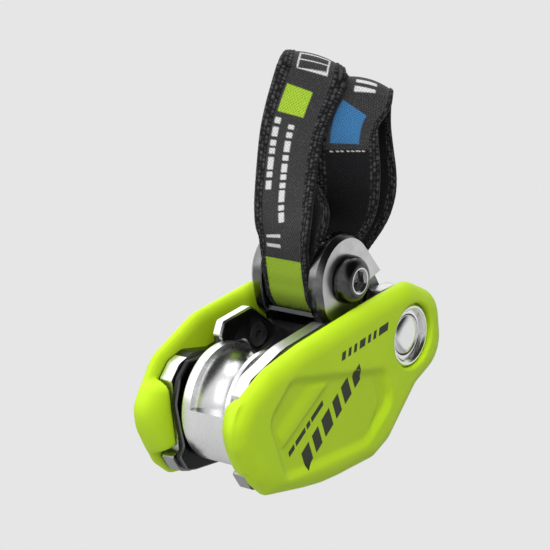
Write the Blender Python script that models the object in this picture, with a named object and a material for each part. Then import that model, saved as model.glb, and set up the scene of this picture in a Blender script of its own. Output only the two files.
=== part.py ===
"""Rope brake that hangs in a webbing sling: two covered side plates, a brake drum with three
friction sectors, an index lever, a rear axle with clevis, and a clevis bolt that carries the sling.

Lengths are in millimetres below and become metres when a mesh is made.  The device is drawn in
its own frame: u runs from the drum axis to the rear axle, w across the device (front is minus w),
v is up in the plane of the plates.  Empties place that frame under the sling in the world.
"""
import math

import bmesh
import bpy
from mathutils import Matrix, Vector

MM = 0.001

# Places of the four joint axes in the plane of the plates (u, v)
DRUM_AXIS = (0.0, 0.0)
AXLE_AXIS = (59.0, 0.5)
BOLT_AXIS = (38.5, 25.2)
LEVER_AXIS = (20.5, 11.7)

# Hanging frame: tilt of the u axis above level, place of the clevis bolt under the karabiner seat
BODY_TILT_DEG = 28.5
SLING_DROP = 51.8
SLING_LEAN = 2.65

# Layers across the device (half widths)
PLATE_INNER = 10.5
PLATE_OUTER = 15.0
COVER_INNER = 15.3
COVER_OUTER = 19.7
LINER_INNER = 8.2
LEVER_INNER = 7.0
LAYER_OUTER = 10.2
GAP = 0.3

# Covers
COVER_ROUND = 4.8
NOSE_INNER = 10.8
NOSE_BACK = -15.4
PANEL_DEPTH = 0.9
SCREW_SPOTS = [(12.0, -14.0), (36.0, -19.0), (67.5, -7.5)]

# Foot of the lever spring in the rear plate
SPRING_FOOT = (19.0, -4.0)

# Brake drum
DRUM_R = 16.9
DRUM_REAR = 6.65
DRUM_FRONT = -10.2
GROOVE_TOP = 3.4
GROOVE_BOTTOM = -8.4
GROOVE_R = 12.2
SHALLOW_R = 14.6
SECTOR_START_DEG = 164.0
DRUM_BORE = 6.9
RETAINER_BORE = 8.7
INDEX_R = 11.2

# Axles and bolt
AXLE_R = 6.0
RING_R = 9.5
RING_FACE = 18.5
STUB_R = 5.0
BOLT_R = 4.0
BOLT_HEAD_R = 7.0
BOLT_HEAD_H = 4.4
HEX_ACROSS = 5.0

# Clevis
CHEEK_R = 13.1
CHEEK_INNER = 8.25
CHEEK_OUTER = 12.65
CRADLE_R = 12.8
NECK_HALF = 9.3

# Sling: tape, and the seat of the karabiner bar that the two end loops hang on
TAPE_T = 2.2
TAPE_HALF = 8.0
SLEEVE_R = 7.0
SEAT_YAW_DEG = 33.0
SEAT_LEAN = 0.10
REAR_LOOP = {"centre": (-5.9, 9.4, 55.0), "radius": 6.2, "half": (8.2, 10.4)}
FRONT_LOOP = {"centre": (5.0, -3.2, 51.6), "radius": 5.9, "half": (7.6, 7.6)}
SADDLE_START_DEG = 206.0

# Stations of the four strands from the loops down to the bolt: side, across, height, twist, half width
REAR_OUTER = [(-12.5, 7.0, 45.0, 26.0, 9.8), (-13.4, 7.1, 37.0, 20.5, 9.2), (-14.4, 6.2, 27.0, 14.0, 8.7),
              (-15.8, 3.6, 17.5, 9.0, 8.7), (-16.6, 1.2, 11.5, 4.0, 8.7), (-16.3, 0.3, 8.0, 1.0, 8.5),
              (-15.1, 0.0, 4.2, 0.0, 8.1), (-13.2, 0.0, 0.6, 0.0, 8.0), (-11.6, 0.0, -2.4, 0.0, 8.0)]
REAR_INNER = [(0.2, 12.2, 47.0, 28.0, 7.6), (-0.2, 11.8, 38.0, 20.0, 7.8), (-1.0, 11.4, 29.0, 12.0, 7.8),
              (-4.0, 10.6, 24.0, 6.0, 7.6), (-6.6, 5.4, 19.2, 2.0, 7.9), (-8.1, 0.5, 14.6, 0.0, 8.0),
              (-8.8, -0.1, 11.0, 0.0, 8.0), (-8.6, 0.0, 6.0, 0.0, 8.0)]
FRONT_OUTER = [(11.0, -0.3, 45.0, 31.0, 8.0), (12.8, -1.5, 38.0, 26.0, 8.3), (14.4, -2.9, 32.0, 20.0, 8.4),
               (15.2, -3.7, 26.0, 13.0, 8.4), (16.0, -2.2, 19.5, 6.0, 8.2), (15.0, -0.2, 12.5, 1.0, 8.0),
               (12.2, 0.0, 5.2, 0.0, 8.0)]
FRONT_INNER = [(-1.8, -4.8, 46.0, 33.0, 7.8), (-2.0, -5.2, 40.0, 33.0, 8.2), (-0.5, -5.9, 34.0, 33.0, 8.5),
               (2.0, -6.2, 28.0, 31.0, 8.4), (5.5, -4.7, 22.5, 26.0, 8.4), (8.2, -2.0, 17.0, 10.0, 8.2),
               (8.6, 0.0, 11.0, 0.0, 8.0), (8.6, 0.0, 5.0, 0.0, 8.0)]


def material(name, colour, roughness, metallic):
    mat = bpy.data.materials.new(name)
    mat.use_nodes = True
    shader = mat.node_tree.nodes["Principled BSDF"]
    shader.inputs["Base Color"].default_value = (*colour, 1.0)
    shader.inputs["Roughness"].default_value = roughness
    shader.inputs["Metallic"].default_value = metallic
    return mat


def rounded(corners, step_deg=15.0):
    """Closed outline from (u, v, radius) corners, each corner turned into an arc."""
    points = []
    count = len(corners)
    for i in range(count):
        here = Vector(corners[i][:2])
        radius = corners[i][2]
        back = (Vector(corners[i - 1][:2]) - here).normalized()
        ahead = (Vector(corners[(i + 1) % count][:2]) - here).normalized()
        turn = math.pi - back.angle(ahead)
        reach = radius * math.tan(turn / 2.0)
        start = here + back * reach
        centre = start + (ahead - back * ahead.dot(back)).normalized() * radius
        steps = max(1, round(math.degrees(turn) / step_deg))
        sign = 1.0 if back.cross(ahead) < 0.0 else -1.0
        arm = start - centre
        for k in range(steps + 1):
            angle = sign * turn * k / steps
            points.append(centre + Matrix.Rotation(angle, 2) @ arm)
    return points


def area(points):
    total = 0.0
    for i, p in enumerate(points):
        q = points[(i + 1) % len(points)]
        total += p.x * q.y - q.x * p.y
    return total / 2.0


def inset(points, distance):
    """Outline moved inwards by a distance, point for point."""
    sign = 1.0 if area(points) > 0.0 else -1.0
    moved = []
    count = len(points)
    for i in range(count):
        before = (points[i] - points[i - 1]).normalized()
        after = (points[(i + 1) % count] - points[i]).normalized()
        n1 = Vector((-before.y, before.x)) * sign
        n2 = Vector((-after.y, after.x)) * sign
        normal = (n1 + n2).normalized()
        moved.append(points[i] + normal * (distance / max(0.5, normal.dot(n1))))
    return moved


def circle(centre, radius, count):
    return [Vector((centre[0] + radius * math.cos(2.0 * math.pi * k / count),
                    centre[1] + radius * math.sin(2.0 * math.pi * k / count)))
            for k in range(count)]


def mesh_object(name, rings, closed, origin):
    """Skin over rings of (u, w, v) points; open stacks get end caps, closed ones join up."""
    bm = bmesh.new()
    rows = []
    for ring in rings:
        rows.append([bm.verts.new(((p[0] - origin[0]) * MM, p[1] * MM, (p[2] - origin[1]) * MM))
                     for p in ring])
    count = len(rows[0])
    spans = len(rows) if closed else len(rows) - 1
    for i in range(spans):
        low = rows[i]
        high = rows[(i + 1) % len(rows)]
        for k in range(count):
            m = (k + 1) % count
            bm.faces.new((low[k], low[m], high[m], high[k]))
    if not closed:
        bm.faces.new(rows[0])
        bm.faces.new(rows[-1])
    bmesh.ops.recalc_face_normals(bm, faces=bm.faces)
    if bm.calc_volume(signed=True) < 0.0:
        bmesh.ops.reverse_faces(bm, faces=bm.faces)
    mesh = bpy.data.meshes.new(name)
    bm.to_mesh(mesh)
    bm.free()
    obj = bpy.data.objects.new(name, mesh)
    bpy.context.scene.collection.objects.link(obj)
    return obj


def at_w(points, w):
    return [(p.x, w, p.y) for p in points]


def loft(name, levels, origin):
    """Solid through (w, outline) levels."""
    return mesh_object(name, [at_w(points, w) for w, points in levels], False, origin)


def prism(name, points, w0, w1, origin, chamfer=0.0):
    if chamfer <= 0.0:
        return loft(name, [(w0, points), (w1, points)], origin)
    small = inset(points, chamfer)
    return loft(name, [(w0, small), (w0 + chamfer, points), (w1 - chamfer, points), (w1, small)], origin)


def cylinder(name, centre, radius, w0, w1, origin, count=32, chamfer=0.0):
    return prism(name, circle(centre, radius, count), w0, w1, origin, chamfer)


def turned(name, centre, profile, origin, count=40):
    """Body of revolution across the device from a closed (radius, w) profile away from the axis."""
    rings = []
    for k in range(count):
        angle = 2.0 * math.pi * k / count
        rings.append([(centre[0] + r * math.cos(angle), w, centre[1] + r * math.sin(angle))
                      for r, w in profile])
    return mesh_object(name, rings, True, origin)


def combine(target, tool, operation):
    """Boolean of two solids; the tool is used up."""
    mod = target.modifiers.new("bool", "BOOLEAN")
    mod.operation = operation
    mod.solver = "EXACT"
    mod.object = tool
    graph = bpy.context.evaluated_depsgraph_get()
    mesh = bpy.data.meshes.new_from_object(target.evaluated_get(graph))
    target.modifiers.clear()
    old = target.data
    target.data = mesh
    mesh.name = target.name
    bpy.data.meshes.remove(old)
    spent = tool.data
    bpy.data.objects.remove(tool)
    bpy.data.meshes.remove(spent)
    return target


def cut(target, tool):
    return combine(target, tool, "DIFFERENCE")


def add(target, tool):
    return combine(target, tool, "UNION")


def bore(target, centre, radius, w0, w1, origin, count=32):
    return cut(target, cylinder("tool", centre, radius, w0, w1, origin, count))


def finish(obj, mat, parent, origin):
    """Clean the mesh, give it its material and hang it on the frame of its body."""
    bm = bmesh.new()
    bm.from_mesh(obj.data)
    bmesh.ops.remove_doubles(bm, verts=bm.verts, dist=0.000002)
    bmesh.ops.dissolve_degenerate(bm, edges=bm.edges, dist=0.000002)
    bmesh.ops.recalc_face_normals(bm, faces=bm.faces)
    bm.to_mesh(obj.data)
    bm.free()
    obj.data.materials.clear()
    obj.data.materials.append(mat)
    obj.data.shade_smooth()
    obj.data.set_sharp_from_angle(angle=math.radians(28.0))
    obj.parent = parent
    obj.location = (origin[0] * MM, 0.0, origin[1] * MM)
    return obj


def empty(name, parent, location, turn_y):
    obj = bpy.data.objects.new(name, None)
    bpy.context.scene.collection.objects.link(obj)
    obj.parent = parent
    obj.location = location
    obj.rotation_euler = (0.0, turn_y, 0.0)
    return obj


def head_and_base():
    """Outline corners shared by both covers, from the top of the head round to the nose."""
    return [(61.0, 17.0, 10.0), (75.4, 7.6, 11.0), (75.4, -12.3, 11.0), (60.5, -16.6, 6.0),
            (44.5, -27.8, 7.0), (36.0, -29.4, 6.0), (-13.0, -18.7, 6.0), (-17.9, -12.6, 8.0),
            (-24.2, 0.0, 7.0), (-24.2, 6.2, 7.0)]


def cover_outline(side):
    """The rear cover stands higher along its top edge than the front one."""
    if side > 0:
        top = [(-13.9, 17.8, 10.0), (5.0, 23.4, 18.0), (33.0, 23.0, 8.0), (48.0, 17.4, 9.0)]
    else:
        top = [(-17.5, 12.6, 8.0), (-7.0, 16.3, 12.0), (8.0, 17.5, 20.0), (40.0, 17.5, 10.0)]
    return rounded(list(reversed(head_and_base() + top)))


def plate_corners(side):
    """Side plate: end tabs at the nose, a pocket for the clevis cheek, a round head."""
    if side > 0:
        top = [(-14.7, 11.0, 0.8), (-10.5, 14.6, 3.0), (-4.0, 15.6, 4.0), (6.5, 12.2, 2.0),
               (11.5, 12.2, 1.5), (13.0, 17.6, 1.5), (24.0, 17.6, 2.5)]
    else:
        top = [(-14.7, 11.0, 0.8), (-10.5, 14.6, 4.0), (4.0, 17.6, 14.0), (24.0, 17.6, 2.5)]
    return top + [(29.5, 9.6, 4.0), (46.5, 9.6, 5.0), (50.5, 16.9, 1.5), (60.0, 16.2, 9.0),
                  (73.6, 7.2, 10.0), (73.6, -11.6, 10.0), (60.0, -15.3, 6.0), (43.8, -26.4, 6.0),
                  (35.8, -28.2, 5.0), (-12.0, -17.8, 3.0), (-15.5, -16.2, 1.5), (-18.2, -10.9, 0.8),
                  (-15.2, -10.1, 0.8), (-14.4, 0.0, 3.0), (-14.4, 9.8, 0.6)]


def nose_front(v):
    """Front line of the nose: upright in the middle, drawn back above and below."""
    if v > 3.0:
        return -23.9 + 4.6 * ((v - 3.0) / 8.6) ** 2.0
    return -23.9 + 3.6 * ((3.0 - v) / 12.6) ** 1.8


def nose_block(side, origin):
    """Rounded bumper that reaches in past the end of the side plate, between its two tabs."""
    levels = [(side * (COVER_INNER + 1.6), nose_ring(0.02))]
    for k in range(7):
        angle = math.radians(13.0 * k)
        w = COVER_INNER + 1.0 - (COVER_INNER + 1.0 - NOSE_INNER) * math.sin(angle)
        levels.append((side * w, nose_ring(1.0 - math.cos(angle))))
    return loft("nose", levels, origin)


def nose_ring(share):
    top = 11.3 - 2.6 * share
    low = -9.5 + 1.2 * share
    ring = [Vector((NOSE_BACK, top)), Vector((NOSE_BACK, low))]
    for k in range(13):
        v = low + (top - low) * k / 12.0
        front = nose_front(v)
        ring.append(Vector((front + (NOSE_BACK - 0.4 - front) * share, v)))
    return ring


def build_cover(side, mat, parent, origin):
    """Cover shell: broad rounded rim, a nose that laps the plate end, a sunk side panel."""
    name = "rear_cover" if side > 0 else "front_cover"
    outline = cover_outline(side)
    levels = [(side * COVER_INNER, inset(outline, 0.4)), (side * (COVER_INNER + 0.4), outline)]
    rise = COVER_OUTER - COVER_INNER - 0.6
    for k in range(6):
        angle = math.radians(18.0 * k)
        levels.append((side * (COVER_INNER + 0.6 + rise * math.sin(angle)),
                       inset(outline, COVER_ROUND * (1.0 - math.cos(angle)))))
    cover = loft(name, levels, origin)

    panel = rounded([(-10.5, 3.0, 5.0), (1.0, 10.6, 5.0), (44.0, -4.0, 5.0), (46.5, -15.0, 6.0),
                     (32.0, -22.6, 5.0), (-6.0, -16.6, 4.0)])
    floor = COVER_OUTER - PANEL_DEPTH
    tool = loft("panel", [(side * floor, inset(panel, 1.3)),
                          (side * (COVER_OUTER + PANEL_DEPTH), inset(panel, -1.3))], origin)
    cover = cut(cover, tool)
    cover = bore(cover, AXLE_AXIS, RING_R + GAP, side * 14.0, side * 21.0, origin, 40)
    for spot in SCREW_SPOTS:
        cover = bore(cover, spot, 1.8, side * 14.0, side * 17.6, origin, 12)
    cover = add(cover, nose_block(side, origin))
    return finish(cover, mat, parent, origin)


def build_plate(side, mat, parent, origin):
    name = "rear_plate" if side > 0 else "front_plate"
    plate = prism(name, rounded(plate_corners(side)), side * PLATE_INNER, side * PLATE_OUTER, origin)
    plate = bore(plate, AXLE_AXIS, 7.9, side * 9.0, side * 16.0, origin)
    for spot in SCREW_SPOTS:
        profile = [(2.9, side * 9.9), (2.9, side * 11.6), (1.8, side * 12.9), (1.8, side * 16.0)]
        plate = cut(plate, turned_plug("screw_room", spot, profile, origin))
    if side > 0:
        plate = bore(plate, DRUM_AXIS, STUB_R + GAP, 9.0, 16.0, origin)
        plate = bore(plate, LEVER_AXIS, 2.5, 9.0, 16.0, origin, 20)
        plate = bore(plate, SPRING_FOOT, 1.8, 9.0, 16.0, origin, 16)
    return finish(plate, mat, parent, origin)


def turned_plug(name, centre, profile, origin, count=14):
    """Solid of stacked circles (radius, w) on one axis."""
    return loft(name, [(w, circle(centre, r, count)) for r, w in profile], origin)


def build_screws(side, mat, parent, origin):
    """Three countersunk screws that hold a cover to its plate."""
    name = "rear_cover_screw_" if side > 0 else "front_cover_screw_"
    for number, spot in enumerate(SCREW_SPOTS):
        profile = [(2.6, side * 10.8), (2.6, side * 11.4), (1.5, side * 12.6), (1.5, side * 17.2)]
        screw = turned_plug(name + str(number + 1), spot, profile, origin, 12)
        socket = prism("socket", circle(spot, 1.2, 6), side * 10.0, side * 11.8, origin)
        finish(cut(screw, socket), mat, parent, origin)


def drum_profile(depth_r):
    """Rim, rope groove and rim from the rear face to the front face, as (radius, w)."""
    points = [(DRUM_R - 0.6, DRUM_REAR), (DRUM_R, DRUM_REAR - 0.6)]
    middle = (GROOVE_TOP + GROOVE_BOTTOM) / 2.0
    half = (GROOVE_TOP - GROOVE_BOTTOM) / 2.0
    for k in range(11):
        angle = math.pi * k / 10.0
        points.append((DRUM_R - (DRUM_R - depth_r) * math.sin(angle) ** 0.8, middle + half * math.cos(angle)))
    points.append((DRUM_R, DRUM_FRONT + 0.6))
    points.append((DRUM_R - 0.6, DRUM_FRONT))
    return points


def build_drum(mat, parent, origin):
    """Drum whose rim has three thirds: a deep rope groove, a plain face and a shallow groove."""
    kinds = [drum_profile(DRUM_R), drum_profile(SHALLOW_R), drum_profile(GROOVE_R)]
    inner = [(RETAINER_BORE, DRUM_FRONT), (RETAINER_BORE, -7.2), (DRUM_BORE, -7.2), (DRUM_BORE, DRUM_REAR)]
    rings = []
    for sector in range(3):
        first = SECTOR_START_DEG + 120.0 * sector
        for k in range(13):
            angle = math.radians(first + 0.8 + 118.4 * k / 12.0)
            ring = [(r * math.cos(angle), w, r * math.sin(angle)) for r, w in kinds[sector] + inner]
            rings.append(ring)
    return finish(mesh_object("brake_drum", rings, True, origin), mat, parent, origin)


def build_index_wheel(mat, parent, origin):
    outline = []
    for sector in range(3):
        for k in range(16):
            angle = math.radians(62.0 + 120.0 * sector + 7.5 * k)
            radius = INDEX_R - 2.4 if k < 2 else INDEX_R
            outline.append(Vector((radius * math.cos(angle), radius * math.sin(angle))))
    wheel = prism("index_wheel", outline, DRUM_REAR + GAP, 10.0, origin)
    wheel = bore(wheel, DRUM_AXIS, STUB_R + GAP, 5.0, 12.0, origin)
    return finish(wheel, mat, parent, origin)


def build_liner(mat, parent, origin):
    """Dark inner liner of the rear plate round the drum seat."""
    outline = rounded([(-8.6, 15.0, 2.0), (-13.4, 11.8, 3.0), (-16.4, 5.0, 4.0), (-15.8, -3.0, 6.0),
                       (-15.2, -8.4, 2.0), (-17.4, -10.8, 1.0), (-15.0, -15.8, 2.0), (-11.5, -17.2, 3.0),
                       (16.0, -23.2, 3.0), (16.0, -10.0, 3.0), (4.0, -10.0, 1.0), (0.0, -6.0, 4.0),
                       (0.0, 8.0, 1.0), (0.0, 14.2, 1.0)])
    liner = prism("rear_liner", outline, LINER_INNER, LAYER_OUTER, origin, 0.4)
    liner = bore(liner, DRUM_AXIS, INDEX_R + 0.7, 7.0, 11.0, origin, 48)
    liner = bore(liner, SCREW_SPOTS[0], 3.2, 7.0, 11.0, origin, 20)
    return finish(liner, mat, parent, origin)


def build_lever(mat, parent, origin):
    outline = rounded([(6.2, 21.2, 1.0), (18.8, 21.2, 3.5), (30.0, 10.0, 3.0), (25.4, 6.0, 2.5),
                       (16.8, 6.2, 3.0), (14.6, 12.6, 3.0), (8.4, 13.4, 2.0), (7.0, 10.4, 0.5),
                       (4.6, 11.4, 0.5), (3.9, 17.8, 1.5)])
    lever = prism("index_lever", outline, LEVER_INNER, LAYER_OUTER, origin, 0.5)
    profile = [(3.95, 6.0), (3.95, 8.7), (2.5, 8.7), (2.5, 11.0)]
    lever = cut(lever, turned_plug("pivot_room", LEVER_AXIS, profile, origin, 28))
    return finish(lever, mat, parent, origin)


def build_pivot_screw(mat, parent, origin):
    screw = turned_plug("lever_pivot_screw", LEVER_AXIS, [(3.4, 7.0), (3.65, 7.2), (3.65, 8.4), (2.2, 8.4),
                                                          (2.2, 14.6)], origin, 28)
    screw = cut(screw, prism("socket", circle(LEVER_AXIS, 1.45, 6), 6.0, 8.0, origin))
    return finish(screw, mat, parent, origin)


def build_spring(mat, parent, origin):
    """Leaf spring from a foot in the rear plate up to the tail of the lever."""
    leaf = rounded([(17.4, -5.6, 0.5), (20.8, -5.6, 0.5), (20.8, -3.4, 1.0), (26.6, 3.9, 0.4),
                    (25.6, 4.7, 0.4), (19.4, -2.4, 1.0), (17.4, -2.4, 0.5)], 30.0)
    spring = prism("lever_spring", leaf, 7.4, 9.8, origin)
    spring = add(spring, cylinder("foot", SPRING_FOOT, 1.5, 9.0, 14.6, origin, 16))
    return finish(spring, mat, parent, origin)


def build_stub(mat, parent, origin):
    profile = [(STUB_R - 0.5, -7.0), (STUB_R, -6.5), (STUB_R, 14.3), (STUB_R - 0.5, 14.8)]
    stub = turned_plug("drum_axle", DRUM_AXIS, profile, origin, 36)
    stub = bore(stub, DRUM_AXIS, 2.2, -8.0, 2.0, origin, 16)
    return finish(stub, mat, parent, origin)


def build_retainer(mat, parent, origin):
    """Disc and screw that keep the drum on its stub axle, sunk in the front of the drum."""
    retainer = turned_plug("drum_retainer", DRUM_AXIS, [(7.8, -9.9), (8.3, -9.4), (8.3, -7.5), (1.9, -7.5),
                                                        (1.9, 1.5)], origin, 36)
    retainer = cut(retainer, prism("socket", circle(DRUM_AXIS, 2.6, 6), -11.0, -8.2, origin))
    return finish(retainer, mat, parent, origin)


def tube(name, centre, r_in, r_out, w0, w1, mat, parent, origin, count=28, edge=0.3):
    profile = [(r_in, w0), (r_out - edge, w0), (r_out, w0 + edge), (r_out, w1 - edge), (r_out - edge, w1),
               (r_in, w1)]
    return finish(turned(name, centre, profile, origin, count), mat, parent, origin)


def build_axle_bush(side, mat, parent, origin):
    """Flanged ring seen on the cover: a rim round a sunk seat where the axle end sits."""
    name = "rear_axle_bush" if side > 0 else "front_axle_bush"
    profile = [(AXLE_R + GAP, 10.9), (7.6, 10.9), (7.6, 15.5), (RING_R, 15.5), (RING_R, RING_FACE - 0.7),
               (RING_R - 0.7, RING_FACE), (8.3, RING_FACE), (7.6, RING_FACE - 0.6), (7.4, 16.8),
               (AXLE_R + GAP, 16.8)]
    ring = turned(name, AXLE_AXIS, [(r, side * w) for r, w in profile], origin, 26)
    return finish(ring, mat, parent, origin)


def build_axle(mat, parent, origin):
    profile = [(3.0, -17.7), (5.2, -17.45), (AXLE_R, -16.9), (AXLE_R, 16.9), (5.2, 17.45), (3.0, 17.7)]
    return finish(turned_plug("axle_pin", AXLE_AXIS, profile, origin, 32), mat, parent, origin)


def cheek_outline():
    """Round lug about the bolt, fuller where it meets the cradle, drawn out towards the rear axle."""
    points = []
    for k in range(27):
        turn = 36.0 + 9.6 * k
        angle = math.radians(turn)
        radius = CHEEK_R + 1.5 * smooth((turn - 190.0) / 25.0) * smooth((272.0 - turn) / 20.0)
        points.append(Vector((BOLT_AXIS[0] + radius * math.cos(angle),
                              BOLT_AXIS[1] + radius * math.sin(angle))))
    points.append(Vector((49.5, 19.6)))
    points.append(Vector((57.0, 20.8)))
    return points


def cradle_arc():
    return [Vector((BOLT_AXIS[0] + CRADLE_R * math.cos(math.radians(216.0 + 7.5 * k)),
                    BOLT_AXIS[1] + CRADLE_R * math.sin(math.radians(216.0 + 7.5 * k))))
            for k in range(15)]


def cradle_outline():
    """Saddle under the sling between the two cheeks."""
    rest = [(53.0, 19.2), (50.5, 12.0), (42.5, 4.8), (36.0, 6.2), (31.0, 9.8), (27.8, 13.6), (27.5, 16.6)]
    return cradle_arc() + [Vector(p) for p in rest]


def neck_outline():
    """Arm from the saddle back to the eye on the rear axle."""
    points = [Vector((44.0, 11.0)), Vector((52.0, 18.8)), Vector((56.4, 20.4)), Vector((60.5, 11.8))]
    for k in range(18):
        angle = math.radians(70.0 - 13.0 * k)
        points.append(Vector((AXLE_AXIS[0] + 11.0 * math.cos(angle), AXLE_AXIS[1] + 11.0 * math.sin(angle))))
    return points


def build_clevis(mat, parent, origin):
    body = prism("clevis", cradle_outline(), -LAYER_OUTER, LAYER_OUTER, origin, 0.6)
    cheek = cheek_outline()
    for side in (-1.0, 1.0):
        levels = [(side * CHEEK_INNER, inset(cheek, 0.4)), (side * (CHEEK_INNER + 0.4), cheek),
                  (side * (CHEEK_OUTER - 1.6), cheek), (side * CHEEK_OUTER, inset(cheek, 1.4))]
        lug = loft("cheek", levels, origin)
        lug = bore(lug, BOLT_AXIS, BOLT_R + GAP, side * 7.0, side * 14.0, origin)
        body = add(body, lug)
    neck = prism("neck", neck_outline(), -NECK_HALF, NECK_HALF, origin, 0.5)
    neck = bore(neck, AXLE_AXIS, AXLE_R + GAP, -12.0, 12.0, origin, 36)
    body = add(body, neck)
    return finish(body, mat, parent, origin)


def build_bolt(mat, parent, origin):
    """Button head bolt with a hexagon socket, its thread in the rear cheek."""
    seat = -(CHEEK_OUTER + GAP)
    tip = seat - BOLT_HEAD_H
    profile = [(4.4, tip)]
    for k in range(1, 6):
        angle = math.radians(18.0 * k)
        profile.append((4.4 + (BOLT_HEAD_R - 4.4) * math.sin(angle),
                        seat - 0.4 - (BOLT_HEAD_H - 0.4) * math.cos(angle)))
    profile += [(BOLT_HEAD_R, seat), (BOLT_R, seat), (BOLT_R, 12.0), (BOLT_R - 0.6, 12.6)]
    bolt = turned_plug("clevis_bolt", BOLT_AXIS, profile, origin, 26)
    hexagon = circle(BOLT_AXIS, HEX_ACROSS / math.sqrt(3.0), 6)
    bolt = cut(bolt, prism("socket", hexagon, tip - 1.0, tip + 2.6, origin))
    return finish(bolt, mat, parent, origin)


def smooth(t):
    t = min(1.0, max(0.0, t))
    return t * t * (3.0 - 2.0 * t)


def loop_stations(loop, count):
    """Half turn over the karabiner bar from its right side to its left side."""
    yaw = math.radians(SEAT_YAW_DEG)
    x, y, h = loop["centre"]
    stations = []
    for k in range(count + 1):
        angle = math.pi * k / count
        side = loop["radius"] * math.cos(angle)
        half = loop["half"][0] + (loop["half"][1] - loop["half"][0]) * k / count
        stations.append((x + side * math.cos(yaw), y + side * math.sin(yaw),
                         h + loop["radius"] * math.sin(angle), SEAT_YAW_DEG, half))
    return stations


def pass_stations(radius, first_deg, count):
    """Turn under the bolt from a first angle on its left side round to its right side."""
    stations = []
    for k in range(count + 1):
        angle = math.radians(first_deg + (360.0 - first_deg) * k / count)
        stations.append((radius * math.cos(angle), 0.0, radius * math.sin(angle), 0.0, TAPE_HALF))
    return stations


def sling_stations():
    """Closed centre line of the tape ring: doubled under the bolt, one end loop on each side."""
    inner = SLEEVE_R + TAPE_T / 2.0 + 0.35
    outer = inner + TAPE_T + 0.45
    way = loop_stations(REAR_LOOP, 8) + REAR_OUTER + pass_stations(outer, SADDLE_START_DEG, 12)
    way += FRONT_OUTER[::-1] + loop_stations(FRONT_LOOP, 8) + FRONT_INNER
    way += pass_stations(inner, 180.0, 12)[::-1] + REAR_INNER[::-1]
    return way


def refined(stations, longest):
    """Closed list with a station put halfway along every long span, on a smooth curve."""
    result = []
    count = len(stations)
    for i in range(count):
        near = [Vector(stations[(i + k) % count]) for k in (-1, 0, 1, 2)]
        result.append(near[1])
        if (near[2] - near[1]).length > longest:
            result.append((near[1] + near[2]) * 0.5625 - (near[0] + near[3]) * 0.0625)
    return result


def tape_rings(stations, narrower, aside, closed):
    """Rectangular tape sections square to the centre line; the width follows twist and lean."""
    rings = []
    count = len(stations)
    for i in range(count):
        here = stations[i]
        before = stations[i - 1] if closed or i > 0 else here
        after = stations[(i + 1) % count] if closed or i < count - 1 else here
        along = Vector((after[0] - before[0], after[1] - before[1], after[2] - before[2])).normalized()
        twist = math.radians(here[3])
        lean = SEAT_LEAN * smooth((here[2] - 12.0) / 36.0)
        across = Vector((-math.sin(twist), math.cos(twist), lean))
        across = (across - along * across.dot(along)).normalized() * (here[4] - narrower)
        out = along.cross(across).normalized()
        centre = Vector((here[0] + SLING_LEAN, here[1], here[2] - SLING_DROP)) + out * aside
        ring = []
        for face, edge in ((-1, -1), (-1, 1), (1, 1), (1, -1)):
            ring.append(tuple(centre + out * (face * TAPE_T / 2.0) + across * edge))
        rings.append(ring)
    return rings


def build_sling(mat, parent):
    rings = tape_rings(refined(sling_stations(), 5.0), 0.0, 0.0, True)
    return finish(mesh_object("sling_webbing", rings, True, (0.0, 0.0)), mat, parent, (0.0, 0.0))


def build_splice(mat, parent):
    """Sewn lap of the tape ring, inside the rear loop on its outer strand."""
    strand = [item for item in refined(sling_stations(), 5.0)[:24] if 20.0 < item[2] < 46.0]
    stations = [(*item[:4], TAPE_HALF - 1.2) for item in strand]
    lap = mesh_object("sling_splice", tape_rings(stations, 0.0, TAPE_T + 0.4, False), False, (0.0, 0.0))
    return finish(lap, mat, parent, (0.0, 0.0))


for item in list(bpy.data.objects):
    bpy.data.objects.remove(item)

LIME = material("lime_cover", (0.50, 0.78, 0.03), 0.45, 0.0)
ALLOY = material("bright_alloy", (0.78, 0.78, 0.80), 0.32, 1.0)
STEEL = material("polished_steel", (0.72, 0.72, 0.73), 0.18, 1.0)
FORGED = material("satin_steel", (0.56, 0.56, 0.58), 0.34, 1.0)
DARK = material("dark_steel", (0.04, 0.04, 0.045), 0.40, 0.6)
BRONZE = material("bronze", (0.55, 0.38, 0.20), 0.40, 1.0)
BLACK = material("black_webbing", (0.02, 0.02, 0.022), 0.85, 0.0)

tilt = math.radians(BODY_TILT_DEG)
bolt_u = BOLT_AXIS[0] * math.cos(tilt) - BOLT_AXIS[1] * math.sin(tilt)
bolt_v = BOLT_AXIS[0] * math.sin(tilt) + BOLT_AXIS[1] * math.cos(tilt)
sling_frame = empty("sling_frame", None, (0.0, 0.0, 0.0), 0.0)
body_frame = empty("body_frame", sling_frame,
                   ((SLING_LEAN - bolt_u) * MM, 0.0, (-SLING_DROP - bolt_v) * MM), -tilt)

build_sling(BLACK, sling_frame)
build_splice(BLACK, sling_frame)

build_clevis(FORGED, body_frame, BOLT_AXIS)
build_bolt(STEEL, body_frame, BOLT_AXIS)
tube("bolt_sleeve", BOLT_AXIS, BOLT_R + GAP, SLEEVE_R, -7.9, 7.9, STEEL, body_frame, BOLT_AXIS)
build_axle(STEEL, body_frame, BOLT_AXIS)
build_axle_bush(1.0, STEEL, body_frame, BOLT_AXIS)
tube("rear_washer", AXLE_AXIS, AXLE_R + GAP, 10.6, NECK_HALF + GAP, LAYER_OUTER, BRONZE,
     body_frame, BOLT_AXIS, 28, 0.1)
build_plate(1.0, ALLOY, body_frame, BOLT_AXIS)
build_cover(1.0, LIME, body_frame, BOLT_AXIS)
build_screws(1.0, DARK, body_frame, BOLT_AXIS)
build_liner(DARK, body_frame, BOLT_AXIS)
build_pivot_screw(DARK, body_frame, BOLT_AXIS)
build_spring(STEEL, body_frame, BOLT_AXIS)
build_stub(STEEL, body_frame, BOLT_AXIS)
build_retainer(STEEL, body_frame, BOLT_AXIS)

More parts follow.
